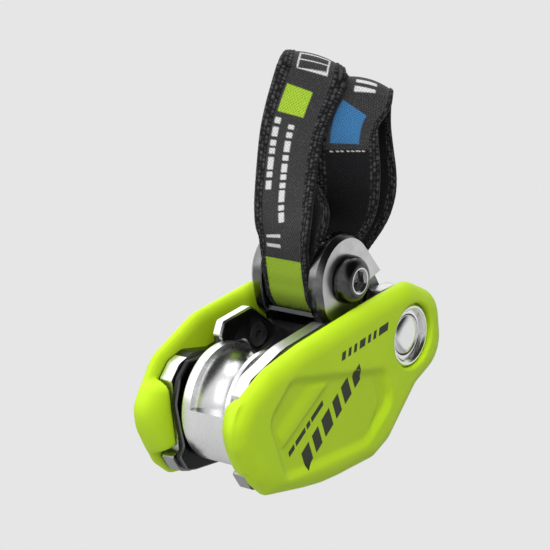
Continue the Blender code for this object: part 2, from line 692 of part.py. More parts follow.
build_drum(STEEL, body_frame, DRUM_AXIS)
tube("drum_bush", DRUM_AXIS, STUB_R + GAP, DRUM_BORE - GAP, -6.9, 6.5, BRONZE, body_frame, DRUM_AXIS)
build_index_wheel(FORGED, body_frame, DRUM_AXIS)

build_lever(DARK, body_frame, LEVER_AXIS)

build_plate(-1.0, ALLOY, body_frame, AXLE_AXIS)
build_cover(-1.0, LIME, body_frame, AXLE_AXIS)
build_screws(-1.0, DARK, body_frame, AXLE_AXIS)
build_axle_bush(-1.0, STEEL, body_frame, AXLE_AXIS)
tube("front_washer", AXLE_AXIS, AXLE_R + GAP, 10.6, -LAYER_OUTER, -NECK_HALF - GAP, BRONZE,
     body_frame, AXLE_AXIS, 28, 0.1)
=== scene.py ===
"""Looks of the hanging rope brake: moulded lime covers, alloy plates, polished drum, forged clevis
and a woven sling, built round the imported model.  Lengths are in millimetres and become metres in
meshes; the camera's lens, the stage and the lamps are given as Blender takes them."""

import math

import bmesh
import bpy
import numpy as np
from mathutils import Matrix, Vector


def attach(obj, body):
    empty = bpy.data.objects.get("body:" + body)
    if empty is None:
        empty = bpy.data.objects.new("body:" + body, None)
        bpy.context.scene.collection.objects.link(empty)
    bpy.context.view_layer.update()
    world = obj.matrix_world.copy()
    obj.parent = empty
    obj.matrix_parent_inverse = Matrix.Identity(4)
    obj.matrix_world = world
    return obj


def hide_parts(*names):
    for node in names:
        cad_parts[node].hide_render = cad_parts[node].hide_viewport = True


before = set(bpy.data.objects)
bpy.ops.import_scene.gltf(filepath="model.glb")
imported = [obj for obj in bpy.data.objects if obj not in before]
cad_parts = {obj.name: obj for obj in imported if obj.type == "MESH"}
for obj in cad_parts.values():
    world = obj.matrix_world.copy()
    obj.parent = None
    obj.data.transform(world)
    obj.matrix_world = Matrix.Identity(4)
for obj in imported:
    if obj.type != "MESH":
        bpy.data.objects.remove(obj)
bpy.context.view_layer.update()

MM = 0.001
TILT = math.radians(28.5)           # slope of the device's long axis u
DRUM_PLACE = (-19.1601, -92.3168)   # x and z of the drum's axis, where u and v start
SLING_PLACE = (2.65, 0.0, -51.8)    # the middle of the bolt, where the sling's stations start
BOLT = (38.5, 25.2)                 # u and v of the bolt
AXLE = (59.0, 0.5)                  # u and v of the axle on which the front half opens


def place(points):
    """Device points (u, w, v) in millimetres to the shared frame in metres."""
    p = np.asarray(points, float)
    u, w, v = p[..., 0], p[..., 1], p[..., 2]
    x = DRUM_PLACE[0] + u * math.cos(TILT) - v * math.sin(TILT)
    z = DRUM_PLACE[1] + u * math.sin(TILT) + v * math.cos(TILT)
    return np.stack([x, w, z], -1) * MM


def smooth(t):
    """Smooth step: 0 up to t = 0, 1 from t = 1 on."""
    t = np.clip(t, 0.0, 1.0)
    return t * t * (3.0 - 2.0 * t)


# ---- camera ----
def make_camera():
    """A long lens, fitted to the photograph."""
    cam = bpy.data.objects.new("camera", bpy.data.cameras.new("camera"))
    bpy.context.scene.collection.objects.link(cam)
    right = Vector((0.5769525, -0.7918980, 0.2000584))
    up = Vector((-0.1404536, 0.1450966, 0.9793977))
    back = Vector((-0.8046108, -0.5931649, -0.0275111))
    turn = Matrix((right, up, back)).transposed().to_4x4()
    stand = Vector((-466.4017, -333.2743, -70.4838)) * MM
    cam.matrix_world = Matrix.Translation(stand) @ turn
    cam.data.lens = 130.9090909
    cam.data.sensor_width = 36.0
    cam.data.clip_start = 0.01
    cam.data.clip_end = 20.0
    bpy.context.scene.camera = cam


make_camera()


# ---- node materials ----
SOCKETS = {"color": "Base Color", "metal": "Metallic", "rough": "Roughness", "normal": "Normal",
           "sheen": "Sheen Weight", "sheen_rough": "Sheen Roughness", "spec": "Specular IOR Level"}


def feed(tree, socket, value):
    """Link a socket from another one, or give it a plain value."""
    if isinstance(value, bpy.types.NodeSocket):
        tree.links.new(value, socket)
    else:
        socket.default_value = value


def add_node(tree, kind, inputs, **settings):
    """A new node with its settings made and its inputs fed, by name or by number."""
    made = tree.nodes.new(kind)
    for key, value in settings.items():
        setattr(made, key, value)
    for key, value in inputs.items():
        feed(tree, made.inputs[key], value)
    return made


class Shade:
    """A small builder of node materials; coordinates are millimetres on the piece."""

    def __init__(self, name):
        self.mat = bpy.data.materials.new(name)
        self.mat.use_nodes = True
        self.tree = self.mat.node_tree
        coord = self.node("ShaderNodeTexCoord", {}).outputs
        self.normal = coord["Normal"]
        self.mm = coord["Object"]
        self.mm = self.stretch((1000.0, 1000.0, 1000.0))

    def node(self, kind, inputs, **settings):
        return add_node(self.tree, kind, inputs, **settings)

    def set(self, **values):
        for key, value in values.items():
            feed(self.tree, self.tree.nodes["Principled BSDF"].inputs[SOCKETS[key]], value)

    def split(self, vector):
        """The X, Y and Z outputs of a vector."""
        return self.node("ShaderNodeSeparateXYZ", {"Vector": vector}).outputs

    def stretch(self, scale, turn=(0.0, 0.0, 0.0)):
        made = self.node("ShaderNodeMapping", {"Vector": self.mm, "Scale": scale, "Rotation": turn})
        return made.outputs["Vector"]

    def noise(self, scale, detail=2.0, rough=0.5, vector=None):
        made = self.node("ShaderNodeTexNoise", {"Vector": vector or self.mm, "Scale": scale,
                                                "Detail": detail, "Roughness": rough})
        return made.outputs["Fac"]

    def range(self, value, low, high, to_low=0.0, to_high=1.0, kind="LINEAR"):
        made = self.node("ShaderNodeMapRange", {"Value": value, "From Min": low, "From Max": high,
                                                "To Min": to_low, "To Max": to_high},
                         interpolation_type=kind)
        return made.outputs["Result"]

    def math(self, kind, a, b=0.0, c=0.0):
        return self.node("ShaderNodeMath", {0: a, 1: b, 2: c}, operation=kind).outputs["Value"]

    def mix(self, share, a, b):
        made = self.node("ShaderNodeMix", {"Factor": share}, data_type="RGBA")
        for key, value in (("A", a), ("B", b)):
            socket = [s for s in made.inputs if s.name == key and s.type == "RGBA"][0]
            feed(self.tree, socket, (*value, 1.0) if isinstance(value, tuple) else value)
        return [s for s in made.outputs if s.type == "RGBA"][0]

    def bump(self, height, strength, distance):
        made = self.node("ShaderNodeBump", {"Height": height, "Strength": strength,
                                            "Distance": distance})
        return made.outputs["Normal"]

    def attribute(self, name):
        return self.node("ShaderNodeAttribute", {}, attribute_name=name).outputs["Fac"]


def lime_plastic():
    """Moulded plastic: slightly cloudy lime, fine spark-eroded grain, darker in the sunk panel."""
    s = Shade("lime_plastic")
    cloud = s.noise(0.06, 3.0)
    speck = s.noise(1.7, 2.0)
    sunk = s.attribute("sunk")
    base = s.mix(s.range(cloud, 0.3, 0.7), (0.490, 0.735, 0.014), (0.525, 0.775, 0.018))
    base = s.mix(s.range(speck, 0.55, 0.8, 0.0, 0.2), base, (0.56, 0.80, 0.03))
    # the sunk panel is painted a darker lime
    base = s.mix(s.math("MULTIPLY", sunk, 0.25), base, (0.430, 0.610, 0.020))
    s.set(color=base, rough=s.range(speck, 0.3, 0.7, 0.44, 0.56))
    grain = s.noise(6.0, 2.0, 0.6)
    s.set(normal=s.bump(s.math("ADD", grain, s.math("MULTIPLY", speck, 0.8)), 0.10, 0.00012))
    s.set(spec=0.30)
    return s.mat


def facing(s):
    """How squarely a point faces across the device: 1 on the side faces, 0 on the edges."""
    return s.math("ABSOLUTE", s.split(s.normal)["Y"])


def metal(name, light, dark, rough, brushed=None):
    """Bright metal: a faint cloudy tone and fine scratches, drawn out by the scale in brushed."""
    s = Shade(name)
    cloud = s.noise(0.10, 2.0, 0.5)
    lines = s.noise(2.4, 4.0, 0.65, s.stretch(brushed) if brushed else None)
    tone = s.math("ADD", s.math("MULTIPLY", cloud, 0.7), s.math("MULTIPLY", lines, 0.3))
    s.set(color=s.mix(s.range(tone, 0.30, 0.70), dark, light), metal=1.0)
    s.set(rough=s.range(lines, 0.30, 0.70, rough - 0.05, rough + 0.05))
    s.set(normal=s.bump(lines, 0.05, 0.00002))
    return s.mat


def two_tone(name, face, edge, bare, rough_face, rough_edge, limits):
    """Metal coloured by facing: side faces, edges, and a painted highlight on the rounded arrises.
    The limits: where an edge ends, the arris highlight starts and ends, and a side face starts."""
    s = Shade(name)
    edge_end, highlight_start, highlight_end, face_start = limits
    turn = facing(s)
    cloud = s.noise(0.2, 3.0, 0.55)
    grit = s.noise(3.5, 3.0, 0.6)
    tone = s.math("ADD", s.math("MULTIPLY", cloud, 0.6), s.math("MULTIPLY", grit, 0.4))
    tone = s.range(tone, 0.3, 0.7, 0.88, 1.08)
    on_face = s.range(turn, highlight_end, face_start, kind="SMOOTHSTEP")
    off_edge = s.range(turn, edge_end, highlight_start, kind="SMOOTHSTEP")
    # the colour given as bare is a painted highlight on the rounded arrises
    color = s.mix(off_edge, edge, bare)
    color = s.mix(on_face, color, face)
    shade = s.node("ShaderNodeVectorMath", {0: color, "Scale": tone}, operation="SCALE")
    s.set(color=shade.outputs["Vector"], metal=1.0)
    rough = s.math("ADD", s.range(on_face, 0.0, 1.0, rough_edge, rough_face),
                   s.range(grit, 0.3, 0.7, -0.04, 0.05))
    s.set(rough=rough, normal=s.bump(grit, 0.06, 0.00004))
    return s.mat


def blackened_steel():
    """Blackened screws: dark, a little cloudy, with a gritty finish."""
    s = Shade("blackened_steel")
    cloud = s.noise(0.25, 4.0)
    grit = s.noise(5.0, 3.0, 0.6)
    color = s.mix(s.range(cloud, 0.3, 0.7), (0.035, 0.035, 0.037), (0.075, 0.075, 0.078))
    s.set(color=color, metal=0.70, rough=s.range(grit, 0.3, 0.7, 0.28, 0.44))
    s.set(normal=s.bump(grit, 0.12, 0.00008))
    return s.mat


def clevis_steel():
    """Forged steel: dark polished edges, painted darker still as shade low down and on the saddle;
    satin cheeks darkened downward by painted shade; bright arrises on the outer side."""
    s = Shade("clevis_steel")
    turn = facing(s)
    spot = s.split(s.mm)
    off = s.math("ABSOLUTE", spot["Y"])
    cloud = s.noise(0.22, 3.0, 0.55)
    grit = s.noise(3.5, 3.0, 0.6)
    outer = s.range(off, 10.6, 11.4)
    bright = s.math("MULTIPLY", s.range(turn, 0.76, 0.83, kind="SMOOTHSTEP"), outer)
    face = s.math("MULTIPLY", s.range(turn, 0.955, 0.985, kind="SMOOTHSTEP"), outer)
    edge = s.mix(s.range(cloud, 0.3, 0.7), (0.100, 0.100, 0.103), (0.230, 0.230, 0.235))
    # painted shade: the edges darken low down and on the saddle between the cheeks
    low = s.range(spot["Z"], -66.0, -60.0, 0.75, 0.0)
    low = s.math("MAXIMUM", low, s.range(off, 7.9, 8.2, 0.9, 0.0))
    edge = s.mix(low, edge, (0.042, 0.042, 0.044))
    # painted shade: the satin cheeks darken downward
    high = s.range(spot["Z"], -63.0, -43.0, kind="SMOOTHSTEP")
    shaded_satin = s.mix(high, (0.60, 0.60, 0.605), (0.72, 0.72, 0.73))
    shaded_satin = s.mix(s.range(cloud, 0.35, 0.75, 0.0, 0.35), shaded_satin, (0.34, 0.34, 0.345))
    color = s.mix(bright, edge, (0.88, 0.88, 0.89))
    color = s.mix(face, color, shaded_satin)
    rough = s.math("ADD", s.range(face, 0.0, 1.0, 0.20, 0.32), s.range(grit, 0.3, 0.7, -0.04, 0.05))
    s.set(color=color, metal=1.0, rough=rough, normal=s.bump(grit, 0.06, 0.00004))
    return s.mat


def device_uv(s, spot):
    """Device coordinates u and v of a point, from its place in the shared frame."""
    cos, sin = math.cos(TILT), math.sin(TILT)
    start = DRUM_PLACE[0] * cos + DRUM_PLACE[1] * sin
    base = DRUM_PLACE[1] * cos - DRUM_PLACE[0] * sin
    u = s.math("ADD", s.math("MULTIPLY", spot["X"], cos),
               s.math("MULTIPLY_ADD", spot["Z"], sin, -start))
    v = s.math("SUBTRACT", s.math("MULTIPLY_ADD", spot["Z"], cos, -base),
               s.math("MULTIPLY", spot["X"], sin))
    return u, v


def plate_alloy(name, shade_start):
    """Alloy side plate: faces painted dark as shade, bright edges greyed by painted shade low down
    and toward the axle, a painted shadow along the outer arris, and painted shade on the edge above
    the lever from u = shade_start on."""
    s = Shade(name)
    spot = s.split(s.mm)
    u, v = device_uv(s, spot)
    lines = s.noise(2.4, 4.0, 0.65, s.stretch((0.2, 1.0, 1.0), (0.0, TILT, 0.0)))
    bright = s.mix(s.range(lines, 0.3, 0.7), (0.86, 0.86, 0.87), (0.95, 0.95, 0.96))
    # painted shade greys the bright edges low down and toward the axle
    bright = s.mix(s.range(v, -9.5, -7.5, 1.0, 0.0), bright, (0.40, 0.40, 0.405))
    bright = s.mix(s.range(u, 30.0, 48.0, 0.0, 0.8), bright, (0.36, 0.36, 0.365))
    # the side faces are painted dark as shade
    shaded_face = s.mix(s.range(lines, 0.3, 0.7), (0.20, 0.20, 0.205), (0.29, 0.29, 0.295))
    dark = s.mix(s.range(lines, 0.3, 0.7), (0.035, 0.035, 0.037), (0.060, 0.060, 0.063))
    # painted shadow on the edge above the lever and along the outer arris by the cover
    shade = s.math("MULTIPLY", s.range(u, shade_start - 0.1, shade_start + 0.1),
                   s.range(u, 26.0, 27.0, 1.0, 0.0))
    shade = s.math("MULTIPLY", shade, s.range(v, 8.5, 9.5))
    shade = s.math("MAXIMUM", shade, s.range(s.math("ABSOLUTE", spot["Y"]), 14.55, 14.70))
    color = s.mix(shade, bright, dark)
    color = s.mix(s.range(facing(s), 0.90, 0.98), color, shaded_face)
    s.set(color=color, metal=1.0, rough=s.range(lines, 0.3, 0.7, 0.30, 0.42))
    s.set(normal=s.bump(lines, 0.05, 0.00002))
    return s.mat


def bolt_steel():
    """Dark polished bolt with a bare bright ring round its socket."""
    s = Shade("bolt_steel")
    cloud = s.noise(0.3, 3.0)
    lines = s.noise(4.0, 3.0, 0.6)
    color = s.mix(s.range(cloud, 0.3, 0.7), (0.060, 0.060, 0.063), (0.120, 0.120, 0.124))
    color = s.mix(s.attribute("socket"), color, (0.42, 0.42, 0.43))
    color = s.mix(s.attribute("bare"), color, (0.92, 0.92, 0.93))
    s.set(color=color, metal=1.0, rough=s.range(lines, 0.3, 0.7, 0.16, 0.28))
    s.set(normal=s.bump(lines, 0.05, 0.00003))
    return s.mat


def ink():
    """Black print on the cover, a little uneven."""
    s = Shade("black_ink")
    speck = s.noise(3.0, 3.0, 0.6)
    s.set(color=s.mix(s.range(speck, 0.35, 0.7), (0.018, 0.022, 0.010), (0.040, 0.048, 0.020)))
    s.set(rough=s.range(speck, 0.3, 0.7, 0.40, 0.60), spec=0.3)
    return s.mat


def webbing():
    """Woven tape: plain weave between knotted selvedges, and a grey band with coloured prints."""
    s = Shade("black_webbing")
    rib_pitch, pick_pitch = 0.85, 1.15
    rib = s.math("SINE", s.math("MULTIPLY", s.attribute("across"), 2.0 * math.pi / rib_pitch))
    pick = s.math("SINE", s.math("MULTIPLY", s.attribute("along"), 2.0 * math.pi / pick_pitch))
    weave = s.math("MULTIPLY", rib, pick)
    fuzz = s.noise(1.6, 4.0, 0.70)
    cloud = s.noise(0.16, 2.0)
    plain = s.mix(s.range(weave, -1.0, 1.0), (0.003, 0.003, 0.004), (0.011, 0.011, 0.012))
    band = s.mix(s.range(weave, -1.0, 1.0), (0.014, 0.014, 0.015), (0.044, 0.044, 0.045))
    band = s.mix(s.range(fuzz, 0.50, 0.80, 0.0, 0.8), band, (0.090, 0.090, 0.092))
    band = s.mix(s.range(cloud, 0.35, 0.75, 0.0, 0.4), band, (0.022, 0.022, 0.023))
    middle = s.mix(s.attribute("ink_band"), plain, band)
    knot = s.math("MULTIPLY", s.attribute("lump"), s.range(fuzz, 0.30, 0.70, 0.55, 1.25))
    rim = s.mix(s.range(knot, 0.20, 1.0), (0.004, 0.004, 0.005), (0.090, 0.090, 0.093))
    color = s.mix(s.attribute("selvedge"), middle, rim)
    worn = s.range(s.math("ADD", weave, fuzz), -0.4, 0.7, 0.62, 0.96)
    for key, tint in (("ink_white", (0.62, 0.62, 0.62)), ("ink_green", (0.33, 0.51, 0.030)),
                      ("ink_blue", (0.040, 0.165, 0.360))):
        color = s.mix(s.math("MULTIPLY", s.attribute(key), worn), color, tint)
    s.set(color=color, rough=s.range(fuzz, 0.3, 0.7, 0.62, 0.88))
    s.set(sheen=0.08, sheen_rough=0.45, spec=0.22)
    height = s.math("ADD", s.math("MULTIPLY", weave, 0.6), s.math("MULTIPLY", fuzz, 1.3))
    s.set(normal=s.bump(height, 0.6, 0.00018))
    return s.mat


UNSHADED = 999.0
LIME = lime_plastic()
REAR_ALLOY = plate_alloy("rear_alloy", -7.2)
FRONT_ALLOY = plate_alloy("front_alloy", UNSHADED)
STEEL = metal("polished_steel", (0.95, 0.95, 0.96), (0.88, 0.88, 0.89), 0.20)
DRUM_STEEL = metal("drum_steel", (0.91, 0.91, 0.92), (0.82, 0.82, 0.83), 0.30, (0.4, 2.0, 0.4))
CLEVIS_STEEL = clevis_steel()
WHEEL_STEEL = metal("satin_steel", (0.62, 0.62, 0.63), (0.48, 0.48, 0.49), 0.30)
BOLT_STEEL = bolt_steel()
BRONZE = metal("bronze", (0.60, 0.42, 0.22), (0.46, 0.31, 0.16), 0.34)
# the third colour of each is a painted highlight on the rounded arrises
LEVER_STEEL = two_tone("lever_steel", (0.050, 0.050, 0.052), (0.84, 0.84, 0.85), (0.66, 0.66, 0.67),
                       0.38, 0.26, (0.20, 0.50, 0.80, 0.96))
LINER_STEEL = two_tone("liner_steel", (0.026, 0.026, 0.028), (0.040, 0.040, 0.043),
                       (0.17, 0.17, 0.175), 0.34, 0.30, (0.25, 0.50, 0.84, 0.97))
BLACKENED = blackened_steel()
INK = ink()
WEBBING = webbing()


# ---- meshes ----
WELD = 0.000002           # metres
FLAT_DEG = 1.0            # faces that differ by less become one
BEVEL_FROM_DEG = 30.0
BEVEL_SEGMENTS = 3
BEVEL_SHARP_DEG = 40.0
ARC_STEP_DEG = 5.0
SLOPE_STEP = 0.02


def new_object(name, mesh, mat, body, nodes=()):
    """An object of one material that rides on a body and stands for the given nodes."""
    obj = bpy.data.objects.new(name, mesh)
    bpy.context.scene.collection.objects.link(obj)
    mesh.materials.clear()
    mesh.materials.append(mat)
    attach(obj, body)
    if nodes:
        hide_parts(*nodes)


def mesh_from(name, points, faces, sharp=None):
    """Mesh from metre points and faces, outward facing, smooth shaded."""
    mesh = bpy.data.meshes.new(name)
    mesh.from_pydata([tuple(p) for p in points], [], [tuple(f) for f in faces])
    bm = bmesh.new()
    bm.from_mesh(mesh)
    bmesh.ops.recalc_face_normals(bm, faces=bm.faces)
    if bm.calc_volume(signed=True) < 0.0:
        bmesh.ops.reverse_faces(bm, faces=bm.faces)
    bm.to_mesh(mesh)
    bm.free()
    mesh.shade_smooth()
    if sharp:
        mesh.set_sharp_from_angle(angle=math.radians(sharp))
    return mesh


def tube_faces(rings, wide, closed):
    """Quads between rings of points; the tube is closed on itself or capped at both ends."""
    spans = rings if closed else rings - 1
    faces = [(i * wide + k, i * wide + (k + 1) % wide, (i + 1) % rings * wide + (k + 1) % wide,
              (i + 1) % rings * wide + k) for i in range(spans) for k in range(wide)]
    if not closed:
        faces += [tuple(range(wide)), tuple((rings - 1) * wide + k for k in range(wide))]
    return faces


def write_mark(mesh, name, values):
    """A number at every point of a mesh, for its material to read."""
    mark = mesh.attributes.new(name, "FLOAT", "POINT")
    mark.data.foreach_set("value", values.astype(np.float32))


def dressed(node, mat, body, width):
    """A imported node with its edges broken: the same solid with narrow rounded arrises."""
    bm = bmesh.new()
    bm.from_mesh(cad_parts[node].data)
    bmesh.ops.remove_doubles(bm, verts=bm.verts, dist=WELD)
    bmesh.ops.dissolve_limit(bm, angle_limit=math.radians(FLAT_DEG), verts=bm.verts, edges=bm.edges)
    bmesh.ops.recalc_face_normals(bm, faces=bm.faces)
    clean = bpy.data.meshes.new(node + "_broken_edges")
    bm.to_mesh(clean)
    bm.free()
    obj = bpy.data.objects.new(node + "_finished", clean)
    bpy.context.scene.collection.objects.link(obj)
    mod = obj.modifiers.new("edges", "BEVEL")
    mod.width = width * MM
    mod.segments = BEVEL_SEGMENTS
    mod.limit_method = "ANGLE"
    mod.angle_limit = math.radians(BEVEL_FROM_DEG)
    mod.use_clamp_overlap = True
    graph = bpy.context.evaluated_depsgraph_get()
    made = bpy.data.meshes.new_from_object(obj.evaluated_get(graph))
    obj.modifiers.clear()
    obj.data = made
    made.materials.clear()
    made.materials.append(mat)
    made.shade_smooth()
    made.set_sharp_from_angle(angle=math.radians(BEVEL_SHARP_DEG))
    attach(obj, body)
    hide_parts(node)


def rounded(corners):
    """Closed outline from (u, v, radius) corners, each corner turned into an arc."""
    points = []
    count = len(corners)
    for i in range(count):
        here = Vector(corners[i][:2])
        radius = corners[i][2]
        back = (Vector(corners[i - 1][:2]) - here).normalized()
        ahead = (Vector(corners[(i + 1) % count][:2]) - here).normalized()
        turn = math.pi - back.angle(ahead)
        start = here + back * (radius * math.tan(turn / 2.0))
        centre = start + (ahead - back * ahead.dot(back)).normalized() * radius
        steps = max(1, round(math.degrees(turn) / ARC_STEP_DEG))
        sign = 1.0 if back.cross(ahead) < 0.0 else -1.0
        arm = start - centre
        for k in range(steps + 1):
            points.append(centre + Matrix.Rotation(sign * turn * k / steps, 2) @ arm)
    return np.array([(p.x, p.y) for p in points])


def outline_distance(points, outline):
    """Signed distance of (n, 2) points to a closed outline, negative inside."""
    result = np.full(len(points), 1e9)
    inside = np.zeros(len(points), bool)
    x, y = points[:, 0], points[:, 1]
    for a, b in zip(outline, np.roll(outline, -1, axis=0)):
        e = b - a
        length = e @ e
        if length < 1e-12:
            continue
        t = np.clip(((x - a[0]) * e[0] + (y - a[1]) * e[1]) / length, 0.0, 1.0)
        d = (x - a[0] - t * e[0]) ** 2 + (y - a[1] - t * e[1]) ** 2
        result = np.minimum(result, d)
        if abs(e[1]) > 1e-12:
            crosses = (a[1] > y) != (b[1] > y)
            inside ^= crosses & (x < e[0] * (y - a[1]) / e[1] + a[0])
    result = np.sqrt(result)
    return np.where(inside, -result, result)


def soft_max(a, b, k):
    """The larger of two fields, blended over a width of about k."""
    h = np.clip(0.5 - 0.5 * (b - a) / k, 0.0, 1.0)
    return b + (a - b) * h + k * h * (1.0 - h)


def soft_min(a, b, k):
    return -soft_max(-a, -b, k)


def settled(field, points, step):
    """Points drawn on to field = 0 along its slope, half a step at most each time."""
    nudges = SLOPE_STEP * np.eye(3)
    for _ in range(4):
        here = field(points)
        slope = np.stack([(field(points + d) - field(points - d)) / (2 * SLOPE_STEP)
                          for d in nudges], -1)
        size = np.maximum((slope ** 2).sum(-1), 0.05)
        move = -(here / size)[:, None] * slope
        points = points + np.clip(move, -0.5 * step, 0.5 * step)
    return points


def skin(field, low, high, step):
    """Quad skin of field = 0 over a box: one point in each cell that the surface crosses."""
    axes = [np.arange(low[i], high[i] + step, step) for i in range(3)]
    grid = np.stack(np.meshgrid(*axes, indexing="ij"), -1)
    shape = grid.shape[:3]
    value = field(grid.reshape(-1, 3)).reshape(shape)
    corner = {}
    for i in (0, 1):
        for j in (0, 1):
            for k in (0, 1):
                corner[i, j, k] = value[i:shape[0] - 1 + i, j:shape[1] - 1 + j, k:shape[2] - 1 + k]
    total = np.zeros(tuple(n - 1 for n in shape) + (3,))
    hits = np.zeros(tuple(n - 1 for n in shape))
    for p in corner:
        for axis in range(3):
            if p[axis] == 1:
                continue
            q = list(p)
            q[axis] = 1
            a, b = corner[p], corner[tuple(q)]
            cross = (a < 0.0) != (b < 0.0)
            t = np.where(cross, a / np.where(cross, a - b, 1.0), 0.0)
            for m in range(3):
                offset = t if m == axis else float(p[m])
                total[..., m] += np.where(cross, offset, 0.0)
            hits += cross
    live = hits > 0
    index = np.full(live.shape, -1)
    index[live] = np.arange(live.sum())
    base = np.stack(np.meshgrid(*[np.arange(n - 1) for n in shape], indexing="ij"), -1)[live]
    points = np.array(low) + (base + total[live] / hits[live][:, None]) * step
    faces = []
    sign = value < 0.0
    for axis in range(3):
        m1, m2 = (axis + 1) % 3, (axis + 2) % 3
        a = [slice(None)] * 3
        b = [slice(None)] * 3
        a[axis] = slice(0, -1)
        b[axis] = slice(1, None)
        change = sign[tuple(a)] != sign[tuple(b)]
        where = np.argwhere(change)
        keep = (where[:, m1] > 0) & (where[:, m2] > 0) & (where[:, m1] < shape[m1] - 1)
        keep &= where[:, m2] < shape[m2] - 1
        where = where[keep]
        flip = sign[tuple(a)][tuple(where.T)]
        quad = []
        for d1, d2 in ((0, 0), (-1, 0), (-1, -1), (0, -1)):
            cell = where.copy()
            cell[:, m1] += d1
            cell[:, m2] += d2
            quad.append(index[tuple(cell.T)])
        quad = np.stack(quad, -1)
        quad[flip] = quad[flip][:, ::-1]
        faces.append(quad)
    return settled(field, points, step), np.concatenate(faces)


# ---- covers ----
COVER_INNER, COVER_OUTER = 15.3, 19.7              # from the middle plane
ROUND_SIDE, ROUND_FACE, ROUND_MEAN = 5.4, 3.9, 4.2  # the rounded outer edge
REAR_INNER_SOFT, FRONT_INNER_SOFT = 3.4, 0.8
AXLE_BORE = 9.75
SCREWS = [(12.0, -14.0), (36.0, -19.0), (67.5, -7.5)]
SCREW_BORE, SCREW_BORE_END = 1.8, 17.3
NOSE_TIP, NOSE_LONG, NOSE_MIDDLE = -23.9, 7.6, 3.0
NOSE_ROLL_START, NOSE_ROLL = 15.6, 4.8
PANEL_SUNK, FLAT_RAISED, CRESCENT_SUNK = 1.25, 0.75, 0.35
PANEL_FACE = 17.0                                   # the sunk panel lies beyond this
PANEL = rounded([(-10.5, 3.0, 5.0), (1.0, 10.6, 5.0), (44.0, -4.0, 5.0), (46.5, -15.0, 6.0),
                 (32.0, -22.6, 5.0), (-6.0, -16.6, 4.0)])
CRESCENT = np.array([(39.3, -4.7), (44.9, -12.8), (43.7, -17.8), (32.6, -23.6), (36.0, -18.0),
                     (40.4, -13.4), (39.6, -8.0)])


def cover_outline(side):
    """Outline of the rear (side 1) or front (side -1) cover; the rear one stands higher."""
    head = [(61.0, 17.0, 10.0), (75.4, 7.6, 11.0), (75.2, -11.9, 11.0), (60.1, -16.1, 6.0),
            (44.2, -27.4, 7.0), (36.0, -29.6, 6.0), (11.4, -26.7, 80.0)]
    if side > 0:
        head += [(-13.8, -19.8, 6.0), (-19.4, -13.8, 8.0), (-24.2, -0.6, 7.0), (-24.0, 5.8, 7.0)]
        top = [(-13.8, 17.4, 10.0), (5.0, 23.2, 18.0), (33.0, 23.0, 8.0), (48.0, 17.4, 9.0)]
    else:
        head += [(-13.0, -18.9, 6.0), (-18.0, -13.0, 8.0), (-24.2, 0.0, 7.0), (-24.2, 6.2, 7.0)]
        top = [(-17.5, 12.6, 8.0), (-7.0, 16.3, 12.0), (8.0, 17.5, 20.0), (40.0, 17.5, 10.0)]
    return rounded(list(reversed(head + top)))


def line_side(points, a, b):
    """Distance to the left of the line from a to b, and the share of the way along it."""
    e = np.array(b) - np.array(a)
    length = math.hypot(*e)
    rel = points - np.array(a)
    return (e[0] * rel[:, 1] - e[1] * rel[:, 0]) / length, rel @ e / length ** 2


def nose_front(v):
    """Front line of the nose: upright in the middle, drawn back above and below."""
    above = NOSE_TIP + 4.6 * (np.maximum(v - NOSE_MIDDLE, 0.0) / 8.6) ** 2.0
    below = NOSE_TIP + 3.6 * (np.maximum(NOSE_MIDDLE - v, 0.0) / 12.6) ** 1.8
    return np.where(v > NOSE_MIDDLE, above, below)


def nose_field(u, v, a):
    """Bumper that rolls in past the end of the side plate, between its two tabs."""
    into = u - nose_front(v)
    roll_u = np.maximum(0.0, NOSE_LONG - into) / NOSE_LONG
    roll_a = np.maximum(0.0, NOSE_ROLL_START - a) / NOSE_ROLL
    f = (np.sqrt(roll_u ** 2 + roll_a ** 2) - 1.0) * NOSE_ROLL
    inner = np.clip((NOSE_ROLL_START - a) / NOSE_ROLL, 0.0, 1.0)
    f = soft_max(f, v - (11.3 - 2.4 * inner ** 2), 1.0)
    f = soft_max(f, (-9.5 + 1.0 * inner ** 2) - v, 1.0)
    f = soft_max(f, u + 15.4, 0.3)
    return soft_max(f, a - 17.2, 0.3)


def panel_depth(uv):
    """Depth of the side face below its plain level, and how far a point lies in the sunk panel."""
    d = outline_distance(uv, PANEL)
    sunk = smooth((1.2 - d) / 3.2)
    depth = PANEL_SUNK * sunk
    left, share = line_side(uv, (-5.4, -7.3), (18.8, 3.5))
    raised = smooth(left / 0.9 + 0.5)
    raised = raised * smooth((share + 0.02) / 0.06) * smooth((1.02 - share) / 0.06)
    depth -= FLAT_RAISED * raised * smooth((-1.6 - d) / 1.6) * smooth((7.0 - left) / 5.0)
    c = outline_distance(uv, CRESCENT)
    depth += CRESCENT_SUNK * smooth((0.8 - c) / 1.8) * sunk
    return depth, sunk


